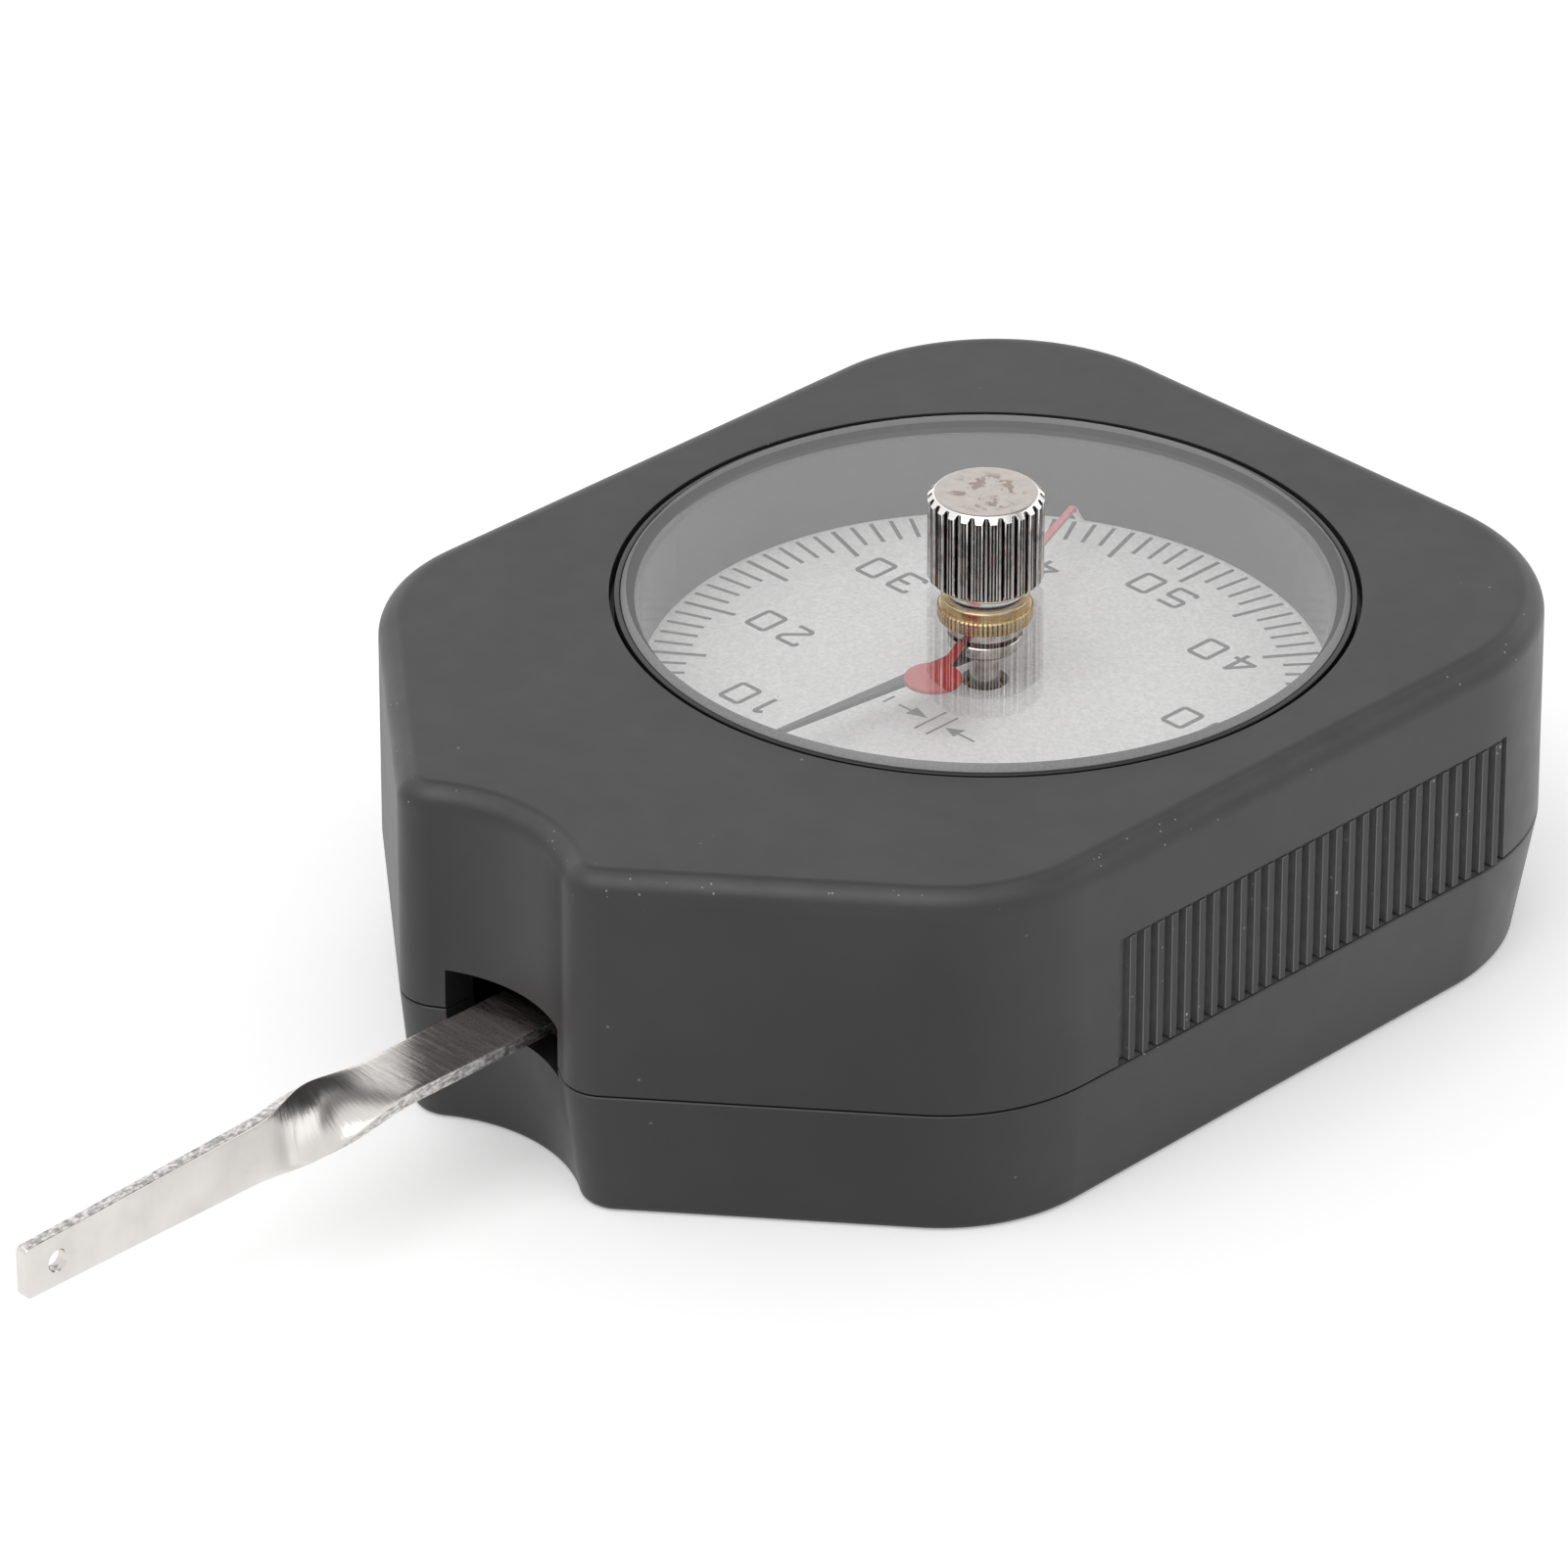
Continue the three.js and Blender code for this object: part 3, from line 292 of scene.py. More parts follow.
class Nodes:
    """Short ways to add and wire shader nodes."""

    def __init__(self, tree):
        self.tree = tree

    def add(self, kind, **values):
        node = self.tree.nodes.new(kind)
        for key, value in values.items():
            setattr(node, key, value)
        return node

    def wire(self, source, target):
        self.tree.links.new(source, target)

    def remap(self, value, from_low, from_high, to_low, to_high):
        node = self.add("ShaderNodeMapRange")
        node.clamp = True
        for key, number in zip(("From Min", "From Max", "To Min", "To Max"),
                               (from_low, from_high, to_low, to_high)):
            node.inputs[key].default_value = number
        self.wire(value, node.inputs["Value"])
        return node.outputs["Result"]

    def math(self, operation, a, b=0.0):
        node = self.add("ShaderNodeMath", operation=operation)
        for socket, value in zip(node.inputs, (a, b)):
            if isinstance(value, (int, float)):
                socket.default_value = value
            else:
                self.wire(value, socket)
        return node.outputs["Value"]

    def product(self, value, *others):
        for other in others:
            value = self.math("MULTIPLY", value, other)
        return value

    def separate(self, vector):
        node = self.add("ShaderNodeSeparateXYZ")
        self.wire(vector, node.inputs["Vector"])
        return node.outputs

    def background_rays(self):
        """Masks of the rays that show a background, and of the glossy ones."""
        paths = self.add("ShaderNodeLightPath").outputs
        seen = self.math("MAXIMUM", paths["Is Camera Ray"], paths["Is Glossy Ray"])
        return self.math("MAXIMUM", seen, paths["Is Transmission Ray"]), paths["Is Glossy Ray"]


class Shader(Nodes):
    """A Principled material with object coordinates in millimetres."""

    IOR = 1.5

    def __init__(self, name, color, rough, metallic=0.0, specular=0.5):
        self.own_color = color
        self.material = bpy.data.materials.new(name)
        self.material.use_nodes = True
        super().__init__(self.material.node_tree)
        self.bsdf = self.tree.nodes["Principled BSDF"]
        self.bsdf.inputs["Base Color"].default_value = (*color, 1)
        self.bsdf.inputs["Roughness"].default_value = rough
        self.bsdf.inputs["Metallic"].default_value = metallic
        self.bsdf.inputs["Specular IOR Level"].default_value = specular
        self.bsdf.inputs["IOR"].default_value = self.IOR
        self.coordinates = self.add("ShaderNodeTexCoord")
        self.base = self.mapped((1 / MM, 1 / MM, 1 / MM))

    def mapped(self, scale, rotation=(0, 0, 0)):
        node = self.add("ShaderNodeMapping")
        node.inputs["Scale"].default_value = scale
        node.inputs["Rotation"].default_value = rotation
        self.wire(self.coordinates.outputs["Object"], node.inputs["Vector"])
        return node.outputs["Vector"]

    def noise(self, scale, detail=3.0, roughness=0.5, vector=None, distortion=0.0):
        node = self.add("ShaderNodeTexNoise")
        node.inputs["Scale"].default_value = scale
        node.inputs["Detail"].default_value = detail
        node.inputs["Roughness"].default_value = roughness
        node.inputs["Distortion"].default_value = distortion
        self.wire(vector or self.base, node.inputs["Vector"])
        return node.outputs["Fac"]

    def spots(self, scale):
        node = self.add("ShaderNodeTexVoronoi")
        node.inputs["Scale"].default_value = scale
        self.wire(self.base, node.inputs["Vector"])
        return node.outputs["Distance"]

    def mix(self, factor, a, b):
        node = self.add("ShaderNodeMix", data_type="RGBA")
        self.wire(factor, node.inputs[0])
        for socket, value in ((node.inputs[6], a), (node.inputs[7], b)):
            if isinstance(value, tuple):
                socket.default_value = (*value, 1)
            else:
                self.wire(value, socket)
        return node.outputs[2]

    def shades(self, texture, low, high, first, second):
        """The own colour times a share that runs from first to second with a texture."""
        return self.mix(self.remap(texture, low, high, 0, 1), scaled(self.own_color, first),
                        scaled(self.own_color, second))

    def xyz(self):
        return self.separate(self.base)

    def normal_xyz(self):
        return self.separate(self.add("ShaderNodeNewGeometry").outputs["Normal"])

    def distance(self, x, y):
        return self.math("SQRT", self.math("ADD", self.product(x, x), self.product(y, y)))

    def tooth_phase(self, x, y, teeth):
        """0 in the grooves of a knurl round the upright axis, 0.5 on its teeth."""
        turn = self.product(self.math("ARCTAN2", y, x), teeth / (2 * math.pi))
        return self.math("PINGPONG", self.math("FRACT", self.math("ADD", turn, teeth)), 0.5)

    def color(self, value):
        self.wire(value, self.bsdf.inputs["Base Color"])

    def rough(self, value):
        self.wire(value, self.bsdf.inputs["Roughness"])

    def bump(self, height, distance, after=None):
        node = self.add("ShaderNodeBump")
        node.inputs["Strength"].default_value = 1
        node.inputs["Distance"].default_value = distance * MM
        self.wire(height, node.inputs["Height"])
        if after is not None:
            self.wire(after, node.inputs["Normal"])
        self.wire(node.outputs["Normal"], self.bsdf.inputs["Normal"])
        return node.outputs["Normal"]


def scaled(color, share):
    return tuple(c * share for c in color)


def moulded_plastic(name, color, rough, grain=5.0, depth=0.004, specular=0.5, worn=False):
    """Dark moulded plastic with a fine matt grain, faint flow marks, and if worn the case's dust with painted
    highlights, painted light and painted shade.
    """
    s = Shader(name, color, rough, specular=specular)
    tone = s.shades(s.noise(0.12, 3), 0.3, 0.7, 0.88, 1.14)
    if worn:
        near = s.remap(s.spots(0.42), 0.0, 0.055, 1, 0)
        rare = s.remap(s.noise(0.23, 1), 0.55, 0.6, 0, 1)
        tone = s.mix(s.product(near, rare, 0.5), tone, (0.45, 0.45, 0.44))
        # Painted highlights on the top edge and grip ribs, and painted light between the ribs
        tone = edge_dust_and_painted_highlight(s, grip_specks_and_painted_light(s, tone, color), color)
        # Painted shade: the lever slot's walls darkened to 0.4 of the colour
        tone = s.mix(slot_painted_shade(s), tone, scaled(color, 0.4))
    s.color(tone)
    s.rough(s.remap(s.noise(0.5, 4), 0.25, 0.75, rough - 0.03, rough + 0.03))
    s.bump(s.noise(grain, 2, 0.6), depth)
    return s.material


def slot_painted_shade(s):
    """1 on the walls of the lever's slot, which hardly any light reaches: there shade is painted into the
    colour.
    """
    margin, fade, behind = 0.05, 0.03, -30
    x, y, z = s.xyz()
    inside = s.remap(y, behind, behind + 0.1, 1, 0)
    for value, (low, high) in ((x, SLOT_X), (z, SLOT_Z)):
        inside = s.product(inside, s.remap(value, low - margin, low - margin + fade, 0, 1),
                           s.remap(value, high + margin - fade, high + margin, 1, 0))
    return inside


def edge_dust_and_painted_highlight(s, tone, color):
    """The rounded top edge painted paler as a highlight, with grains of dust along it."""
    nz = s.normal_xyz()[2]
    # Painted highlight: the sloping faces of the top edge's fillet get twice the colour
    painted_highlight = s.product(s.remap(nz, 0.5, 0.75, 0, 1), s.remap(nz, 0.94, 0.99, 1, 0),
                       s.remap(s.noise(0.3, 3), 0.3, 0.6, 0.5, 1))
    grains = s.product(s.remap(s.spots(1.7), 0.05, 0.14, 1, 0), s.remap(s.noise(0.35, 2), 0.5, 0.58, 0, 1),
                       s.remap(nz, 0.05, 0.2, 0, 1), s.remap(nz, 0.9, 0.96, 1, 0))
    return s.mix(grains, s.mix(painted_highlight, tone, scaled(color, 2)), (0.3, 0.3, 0.3))


def grip_specks_and_painted_light(s, tone, color):
    """Painted light between the ribs of the side grips and pale specks on them, dark crests, and painted
    highlights on the ribs' rounded edges and sloping tops.
    """
    x, y, z = s.xyz()
    _, ny, nz = s.normal_xyz()
    out = s.math("ABSOLUTE", x)
    inside = s.product(s.remap(y, GRIP_FRONT - 0.05, GRIP_FRONT, 0, 1),
                       s.remap(y, GRIP_BACK, GRIP_BACK + 0.05, 1, 0),
                       s.remap(z, GRIP_TOP, GRIP_TOP + 0.05, 1, 0),
                       s.remap(z, SEAM_Z - 0.2, SEAM_Z - 0.1, 0, 1))
    # Painted light: the ribs' sides and the pocket floor between them made paler
    painted_groove_light = s.product(inside, s.remap(out, HALF_WIDTH - GRIP_DEPTH + 0.35, HALF_WIDTH - 0.1, 1, 0),
                      s.remap(out, HALF_WIDTH - 0.9, HALF_WIDTH - 0.8, 0, 1),
                      s.remap(s.noise(1.4, 3), 0.3, 0.7, 0.75, 1))
    crest = s.product(inside, s.remap(out, HALF_WIDTH - 0.12, HALF_WIDTH - 0.09, 0, 1))
    # Painted highlights on the ribs' rounded edges and on their sloping tops
    painted_flank_highlight = s.product(inside, s.remap(s.math("ABSOLUTE", ny), 0.25, 0.5, 0, 1),
                      s.remap(out, HALF_WIDTH - 0.17, HALF_WIDTH - 0.13, 0, 1))
    crown = s.product(inside, s.remap(nz, 0.15, 0.4, 0, 1),
                      s.remap(z, GRIP_TOP - 0.3, GRIP_TOP - 0.26, 0, 1),
                      s.remap(out, HALF_WIDTH - 0.6, HALF_WIDTH - 0.5, 0, 1))
    specks = s.product(inside, s.remap(s.spots(1.2), 0.07, 0.15, 1, 0),
                       s.remap(s.noise(0.5, 2), 0.53, 0.58, 0, 1))
    tone = s.mix(painted_groove_light, tone, (0.15, 0.15, 0.15))
    tone = s.mix(crest, tone, scaled(color, 0.4))
    tone = s.mix(specks, tone, (0.38, 0.38, 0.38))
    return s.mix(s.math("MAXIMUM", painted_flank_highlight, crown), tone, scaled(color, 6))


def plain_metal(name, color, rough, grain=(0.6, 0.6, 14.0)):
    """Turned or stamped metal: drawn grain along the part and a little tarnish."""
    s = Shader(name, color, rough, metallic=1.0)
    s.color(s.shades(s.noise(0.35, 4), 0.35, 0.7, 1, 0.88))
    lines = s.noise(1.0, 3, 0.6, vector=s.mapped(scaled(grain, 1 / MM)))
    s.rough(s.remap(lines, 0.3, 0.7, rough * 0.8, rough * 1.25))
    s.bump(lines, 0.0012)
    return s.material


# Materials

CASE = moulded_plastic("case plastic", (0.025, 0.025, 0.0255), 0.44, worn=True)
WELL = moulded_plastic("dial well plastic", (0.045, 0.045, 0.045), 0.24, grain=0.8, depth=0.0002,
                       specular=0.4)
RING = moulded_plastic("glass ring plastic", (0.012, 0.012, 0.012), 0.35)
FIBRE = moulded_plastic("washer fibre", (0.02, 0.02, 0.02), 0.7, grain=12, depth=0.01)
BRASS = plain_metal("turned brass", (0.66, 0.47, 0.22), 0.28)
STEEL = plain_metal("turned steel", (0.55, 0.55, 0.56), 0.3)
SPRING = plain_metal("tempered spring steel", (0.24, 0.26, 0.33), 0.3, grain=(3, 3, 0.5))


def dial_face():
    """Satin silver with the fine grain of a blasted and lacquered plate."""
    color = (0.77, 0.765, 0.76)
    s = Shader("satin dial", color, 0.42)
    grains = s.noise(4.0, 2, 0.7)
    cloud = s.remap(s.noise(0.25, 3), 0.35, 0.65, 0, 0.12)
    s.color(s.mix(cloud, s.shades(grains, 0.3, 0.7, 0.85, 1.15), scaled(color, 0.8)))
    s.rough(s.remap(grains, 0.3, 0.7, 0.36, 0.52))
    s.bump(grains, 0.008)
    return s.material


def print_ink():
    s = Shader("dial ink", (0.075, 0.077, 0.08), 0.5)
    s.color(s.shades(s.noise(3.0, 3), 0.4, 0.7, 1, 1.5))
    s.rough(s.remap(s.noise(6.0, 2), 0.3, 0.7, 0.42, 0.6))
    s.bump(s.noise(10.0, 2), 0.002)
    return s.material


def clear_glass():
    """Clear glass whose shadow and diffuse rays pass through, with faint smears in its gloss."""
    s = Shader("clear glass", (0.99, 0.99, 0.99), 0.0)
    s.bsdf.inputs["Transmission Weight"].default_value = 1.0
    smear = s.noise(0.16, 4, 0.6, distortion=0.6)
    s.rough(s.remap(smear, 0.45, 0.8, 0.0, 0.012))
    s.bump(s.noise(0.06, 1), 0.0004)
    paths = s.add("ShaderNodeLightPath").outputs
    passing = s.math("MAXIMUM", paths["Is Shadow Ray"], paths["Is Diffuse Ray"])
    through = s.add("ShaderNodeBsdfTransparent")
    through.inputs["Color"].default_value = (0.94, 0.94, 0.94, 1)
    blend = s.add("ShaderNodeMixShader")
    s.wire(passing, blend.inputs[0])
    s.wire(s.bsdf.outputs["BSDF"], blend.inputs[1])
    s.wire(through.outputs["BSDF"], blend.inputs[2])
    s.wire(blend.outputs["Shader"], s.tree.nodes["Material Output"].inputs["Surface"])
    return s.material


def ground_glass():
    """The glass's edge and bevel, ground matt: pale grey with fine grit."""
    s = Shader("ground glass edge", (0.25, 0.25, 0.25), 0.38, specular=0.6)
    grit = s.noise(6.0, 3, 0.6)
    s.color(s.shades(grit, 0.3, 0.7, 0.85, 1.15))
    s.rough(s.remap(grit, 0.3, 0.7, 0.3, 0.46))
    s.bump(grit, 0.006)
    return s.material


def knob_plate():
    """Bright nickel: brownish wear on the flat top; on the knurl, painted highlight lines with a painted dark
    reflection between them.
    """
    color = (0.96, 0.94, 0.91)
    s = Shader("knob nickel", color, 0.16, metallic=1.0)
    x, y, z = s.xyz()
    radius = s.distance(x, y)
    nz = s.normal_xyz()[2]
    top = s.remap(nz, 0.93, 0.98, 0, 1)
    patches = s.product(s.remap(s.noise(0.95, 5, 0.6, distortion=0.3), 0.54, 0.58, 0, 0.9),
                        s.remap(radius, 1.9, 2.6, 1, 0))
    scuffs = s.noise(1.0, 4, 0.6, vector=s.mapped((900, 3200, 900), (0, 0, 0.5)))
    worn = s.math("MAXIMUM", patches, s.remap(scuffs, 0.58, 0.75, 0, 0.4))
    face = s.mix(worn, (0.43, 0.395, 0.37), (0.24, 0.19, 0.165))
    # Painted reflection: bright lines at the knurl's grooves, shoulders and crests, dimmer lower down
    phase = s.tooth_phase(x, y, KNOB_TEETH)
    shoulder = s.math("ABSOLUTE", s.math("SUBTRACT", phase, 0.27))
    lines = s.math("MAXIMUM", s.remap(phase, 0.065, 0.085, 1, 0), s.remap(shoulder, 0.05, 0.07, 1, 0))
    lines = s.math("MAXIMUM", lines, s.remap(phase, 0.445, 0.465, 0, 1))
    lines = s.product(lines, s.remap(z, GRIP_BOTTOM + 0.3, KNOB_TOP - 0.6, 0.85, 1),
                      s.remap(s.noise(1.1, 3), 0.3, 0.5, 0.6, 1))
    # Painted dark reflection between the lines: nearly black, with brownish patches
    painted_dark_reflection = s.mix(s.remap(s.noise(0.9, 3), 0.5, 0.65, 0, 1), (0.045, 0.04, 0.038), (0.15, 0.08, 0.07))
    upright = s.product(s.remap(nz, 0.25, 0.5, 1, 0), s.remap(radius, 3.12, 3.2, 0, 1))
    s.color(s.mix(upright, s.mix(top, scaled(color, 0.9), face), s.mix(lines, painted_dark_reflection, color)))
    s.rough(s.remap(s.noise(1.6, 4), 0.3, 0.75, 0.1, 0.28))
    s.bump(s.product(s.noise(3.0, 4, 0.6), s.remap(upright, 0, 1, 1, 0.3)), 0.006)
    return s.material


def collar_metal(name, color, stain, rough, knurl_r=None):
    """Turned metal with fine rings round the upright axis, and a straight knurl beyond a radius."""
    s = Shader(name, color, rough, metallic=1.0)
    rings = s.noise(1.0, 3, 0.6, vector=s.mapped((300, 300, 16000)))
    tone = s.mix(s.remap(s.noise(0.9, 4), 0.4, 0.7, 0, 1), color, stain)
    if knurl_r:
        x, y, _ = s.xyz()
        groove = s.product(s.remap(s.tooth_phase(x, y, BUSH_TEETH), 0.08, 0.16, 1, 0),
                           s.remap(s.distance(x, y), knurl_r, knurl_r + 0.02, 0, 0.8))
        tone = s.mix(groove, tone, scaled(stain, 0.35))
    s.color(tone)
    s.rough(s.remap(rings, 0.3, 0.7, rough * 0.75, rough * 1.3))
    s.bump(rings, 0.002)
    return s.material


def lever_plate():
    """Nickel on rolled strip: polishing lines run across it, strongest along the twist."""
    s = Shader("lever nickel", (0.745, 0.715, 0.685), 0.2, metallic=1.0)
    y = s.xyz()[1]
    near = s.remap(y, -49, -44, 0, 1)
    s.color(s.mix(near, s.shades(s.noise(0.3, 4), 0.35, 0.7, 1, 0.88), (0.72, 0.65, 0.62)))
    lines = s.noise(1.0, 4, 0.65, vector=s.mapped((350, 5000, 350), (0, 0, 0.12)))
    s.rough(s.math("ADD", s.remap(lines, 0.3, 0.75, 0.12, 0.28), s.product(near, 0.09)))
    twist = s.product(s.remap(y, -63, -60, 0, 1), s.remap(y, -48, -42, 1, 0.4))
    fine = s.bump(s.product(lines, twist), 0.012)
    s.bump(s.noise(0.7, 3), 0.006, after=fine)
    return s.material


def sheared_edge():
    """The rough torn band that a shear leaves on the strip's narrow sides."""
    s = Shader("sheared nickel edge", (0.70, 0.68, 0.66), 0.35, metallic=1.0)
    grit = s.noise(3.2, 5, 0.7, vector=s.mapped((1000, 700, 1600)))
    s.color(s.shades(grit, 0.4, 0.6, 0.5, 1.3))
    s.rough(s.remap(grit, 0.3, 0.7, 0.28, 0.5))
    s.bump(grit, 0.04)
    return s.material


def paint(name, color, rough):
    s = Shader(name, color, rough)
    s.color(s.shades(s.noise(1.2, 4), 0.35, 0.7, 1, 0.82))
    s.rough(s.remap(s.noise(4.0, 3), 0.3, 0.7, rough - 0.07, rough + 0.08))
    s.bump(s.noise(5.0, 3), 0.002)
    return s.material


def drag_paint():
    """Red paint, with the bare folded tip beyond it."""
    s = Shader("drag pointer red", (0.50, 0.035, 0.04), 0.38)
    x, y, _ = s.xyz()
    radius = s.distance(x, y)
    near = s.shades(s.noise(1.2, 4), 0.35, 0.7, 1, 0.8)
    red = s.mix(s.remap(radius, 9, 12, 0, 1), near, (0.56, 0.13, 0.16))
    s.color(s.mix(s.remap(radius, 16.45, 16.6, 0, 1), red, (0.85, 0.78, 0.78)))
    s.rough(s.remap(s.noise(4.0, 3), 0.3, 0.7, 0.32, 0.45))
    s.bump(s.noise(5.0, 3), 0.002)
    return s.material


DIAL = dial_face()
INK = print_ink()
GLASS = clear_glass()
GROUND = ground_glass()
KNOB = knob_plate()
HUB = collar_metal("hub nickel", (0.66, 0.635, 0.61), (0.3, 0.22, 0.18), 0.14)
BUSH = collar_metal("bush brass", (0.66, 0.49, 0.25), (0.5, 0.36, 0.17), 0.24, knurl_r=2.86)
LEVER = lever_plate()
SHEARED = sheared_edge()
DARK = paint("pointer dark paint", (0.05, 0.052, 0.055), 0.45)
RED = drag_paint()


# Case outline

def arc(cx, cy, radius, start, end, steps):
    return [(cx + radius * math.cos(start + (end - start) * i / steps),
             cy + radius * math.sin(start + (end - start) * i / steps)) for i in range(steps + 1)]


SIDE_X = HALF_WIDTH - SIDE_CORNER_R
SIDE_Y = (CHAMFER_DISTANCE - SIDE_CORNER_R - SIDE_X * math.cos(CHAMFER_ANGLE)) / math.sin(CHAMFER_ANGLE)


def front_shape(notch_y, horn_r):
    """The notch centre's y, and the centre and radius of the horn that joins notch and chamfer."""
    # The horn's centre slides along the drawn-in chamfer until its circle touches the notch's
    centre = notch_y - NOTCH_R
    nx, ny = math.cos(CHAMFER_ANGLE), math.sin(CHAMFER_ANGLE)
    offset = CHAMFER_DISTANCE - horn_r
    fx, fy = nx * offset, ny * offset
    ax, ay = ny, -nx
    dy = fy - centre
    half = fx * ax + dy * ay
    rest = fx * fx + dy * dy - (NOTCH_R + horn_r) ** 2
    step = -half - math.sqrt(half * half - rest)
    return centre, (fx + ax * step, fy + ay * step), horn_r


TOP_FRONT = front_shape(NOTCH_Y, HORN_R)
BOTTOM_FRONT = front_shape(BOTTOM_NOTCH_Y, BOTTOM_HORN_R)


def outline(inset, front=TOP_FRONT):
    """The case seen from above, drawn in by an inset: notch, horn, side and back, then mirrored."""
    centre, (hx, hy), horn_r = front
    toward = math.atan2(hy - centre, hx)
    right = arc(0, centre, NOTCH_R + inset, math.pi / 2, toward, steps=28)
    right += arc(hx, hy, horn_r - inset, toward - math.pi, CHAMFER_ANGLE, steps=22)[1:]
    right += arc(SIDE_X, SIDE_Y, SIDE_CORNER_R - inset, CHAMFER_ANGLE, 0, steps=24)
    right += arc(HALF_WIDTH - BACK_CORNER_R, BACK_Y - BACK_CORNER_R, BACK_CORNER_R - inset, 0, math.pi / 2,
                 steps=44)
    left = [(-x, y) for x, y in right[1:]][::-1]
    return right + left


def case_ring(inset, z):
    return [(x, y, z) for x, y in outline(inset)]


def bottom_ring(inset, z):
    """The outline at the case's bottom, which also tapers towards the back."""
    ring = []
    for x, y in outline(BOTTOM_DRAFT + inset, BOTTOM_FRONT):
        scale = 1 - TAPER_SHARE * clamp((y - TAPER_FROM) / (TAPER_TO - TAPER_FROM))
        ring.append((x * scale, y * scale if y > 0 else y, z))
    return ring


def fillet(radius, steps):
    """(inward, up) pairs of a quarter circle."""
    return [(radius * (1 - math.cos(math.pi / 2 * i / steps)), radius * math.sin(math.pi / 2 * i / steps))
            for i in range(steps + 1)]


# Upper case

LIP, ROUND_OVER = 0.07, 0.06


def slot_tool():
    return link("slot_tool", *box_data(*SLOT_X, NOTCH_Y - 3, NOTCH_Y + 3, *SLOT_Z))


def upper_case():
    bottom = SEAM_Z + SEAM_GAP / 2
    shoulder = CASE_TOP - TOP_EDGE_R
    rings = [case_ring(LIP, bottom), case_ring(0, bottom + LIP), case_ring(0.001, bottom + 0.3),
             case_ring(TOP_DRAFT - 0.001, shoulder - 0.2)]
    rings += [case_ring(TOP_DRAFT + i, shoulder + u) for i, u in fillet(TOP_EDGE_R, 18)]
    rings.append(case_ring(TOP_DRAFT + TOP_EDGE_R + 0.15, CASE_TOP))
    shell = loft("upper_case_shell", rings)
    inside = loft("inside", [case_ring(WALL, bottom - 1), case_ring(WALL, CASE_TOP - ROOF)])
    ledge_floor = GLASS_BOTTOM - 0.5
    keep = [cylinder("well wall", WELL_OUTER_R, DIAL_TOP + 0.05, CASE_TOP, 96)]
    keep += [cylinder("boss", BOSS_R, bottom + 0.05, CASE_TOP - 1, 32, x, y) for x, y in SCREW_SPOTS]
    carve(inside, keep)
    round_over = [(OPENING_R + i, CASE_TOP - ROUND_OVER + u) for i, u in fillet(ROUND_OVER, 3)]
    well = lathe("well", [(0, bottom - 1), (WELL_R, bottom - 1), (WELL_R, ledge_floor),
                          (LEDGE_R, ledge_floor), (LEDGE_R, GLASS_BOTTOM), (OPENING_R, GLASS_BOTTOM),
                          *round_over, (OPENING_R + ROUND_OVER, CASE_TOP + 1)], 256)
    wall = HALF_WIDTH - TOP_DRAFT / 2
    pockets = [link("pocket", *box_data(*sorted((side * (wall - GRIP_DEPTH), side * (HALF_WIDTH + 1))),
                                        GRIP_FRONT, GRIP_BACK, SEAM_Z - 1, GRIP_TOP)) for side in (1, -1)]
    holes = [cylinder("hole", SCREW_HOLE_R, bottom - 1, 15, 24, x, y) for x, y in SCREW_SPOTS]
    return carve(shell, [inside, well, slot_tool(), *pockets, *holes])


def side_ribs(side):
    """The ribs that stand in a grip pocket, each with rounded edges and a sloping top."""
    wall = HALF_WIDTH - 0.06
    root = wall - GRIP_DEPTH - 0.02
    low = SEAM_Z + SEAM_GAP / 2
    slope = RIB_DROP / GRIP_DEPTH
    parts = []
    for i in range(RIB_COUNT):
        middle = RIB_FIRST + RIB_PITCH * i
        section = rounded([(root, middle - RIB_HALF, 0), (wall, middle - RIB_HALF, 0.09),
                           (wall, middle + RIB_HALF, 0.09), (root, middle + RIB_HALF, 0)])
        crown = [(x, y, GRIP_TOP - slope * (x - root)) for x, y in section]
        pulled = [(root + (x - root) * 0.93, middle + (y - middle) * 0.8, z) for x, y, z in crown]
        rings = [[(x, y, low) for x, y in section], [(x, y, z - 0.05) for x, y, z in crown], pulled]
        parts.append(loft_data([[(side * x, y, z) for x, y, z in ring] for ring in rings]))
    return link("side_ribs_right" if side > 0 else "side_ribs_left", *merged(parts))


shell = dress(upper_case(), "case", CASE, replaces=["upper_case"])
keep_flats(shell)
shell.data.materials.append(WELL)
for face in shell.data.polygons:
    corners = [shell.data.vertices[i].co / MM for i in face.vertices]
    if all(math.hypot(c.x, c.y) < LEDGE_R + 0.01 and c.z > DIAL_TOP - 1 for c in corners):
        face.material_index = 1
for side in (1, -1):
    dress(side_ribs(side), "case", CASE, degrees=50)


# Lower case

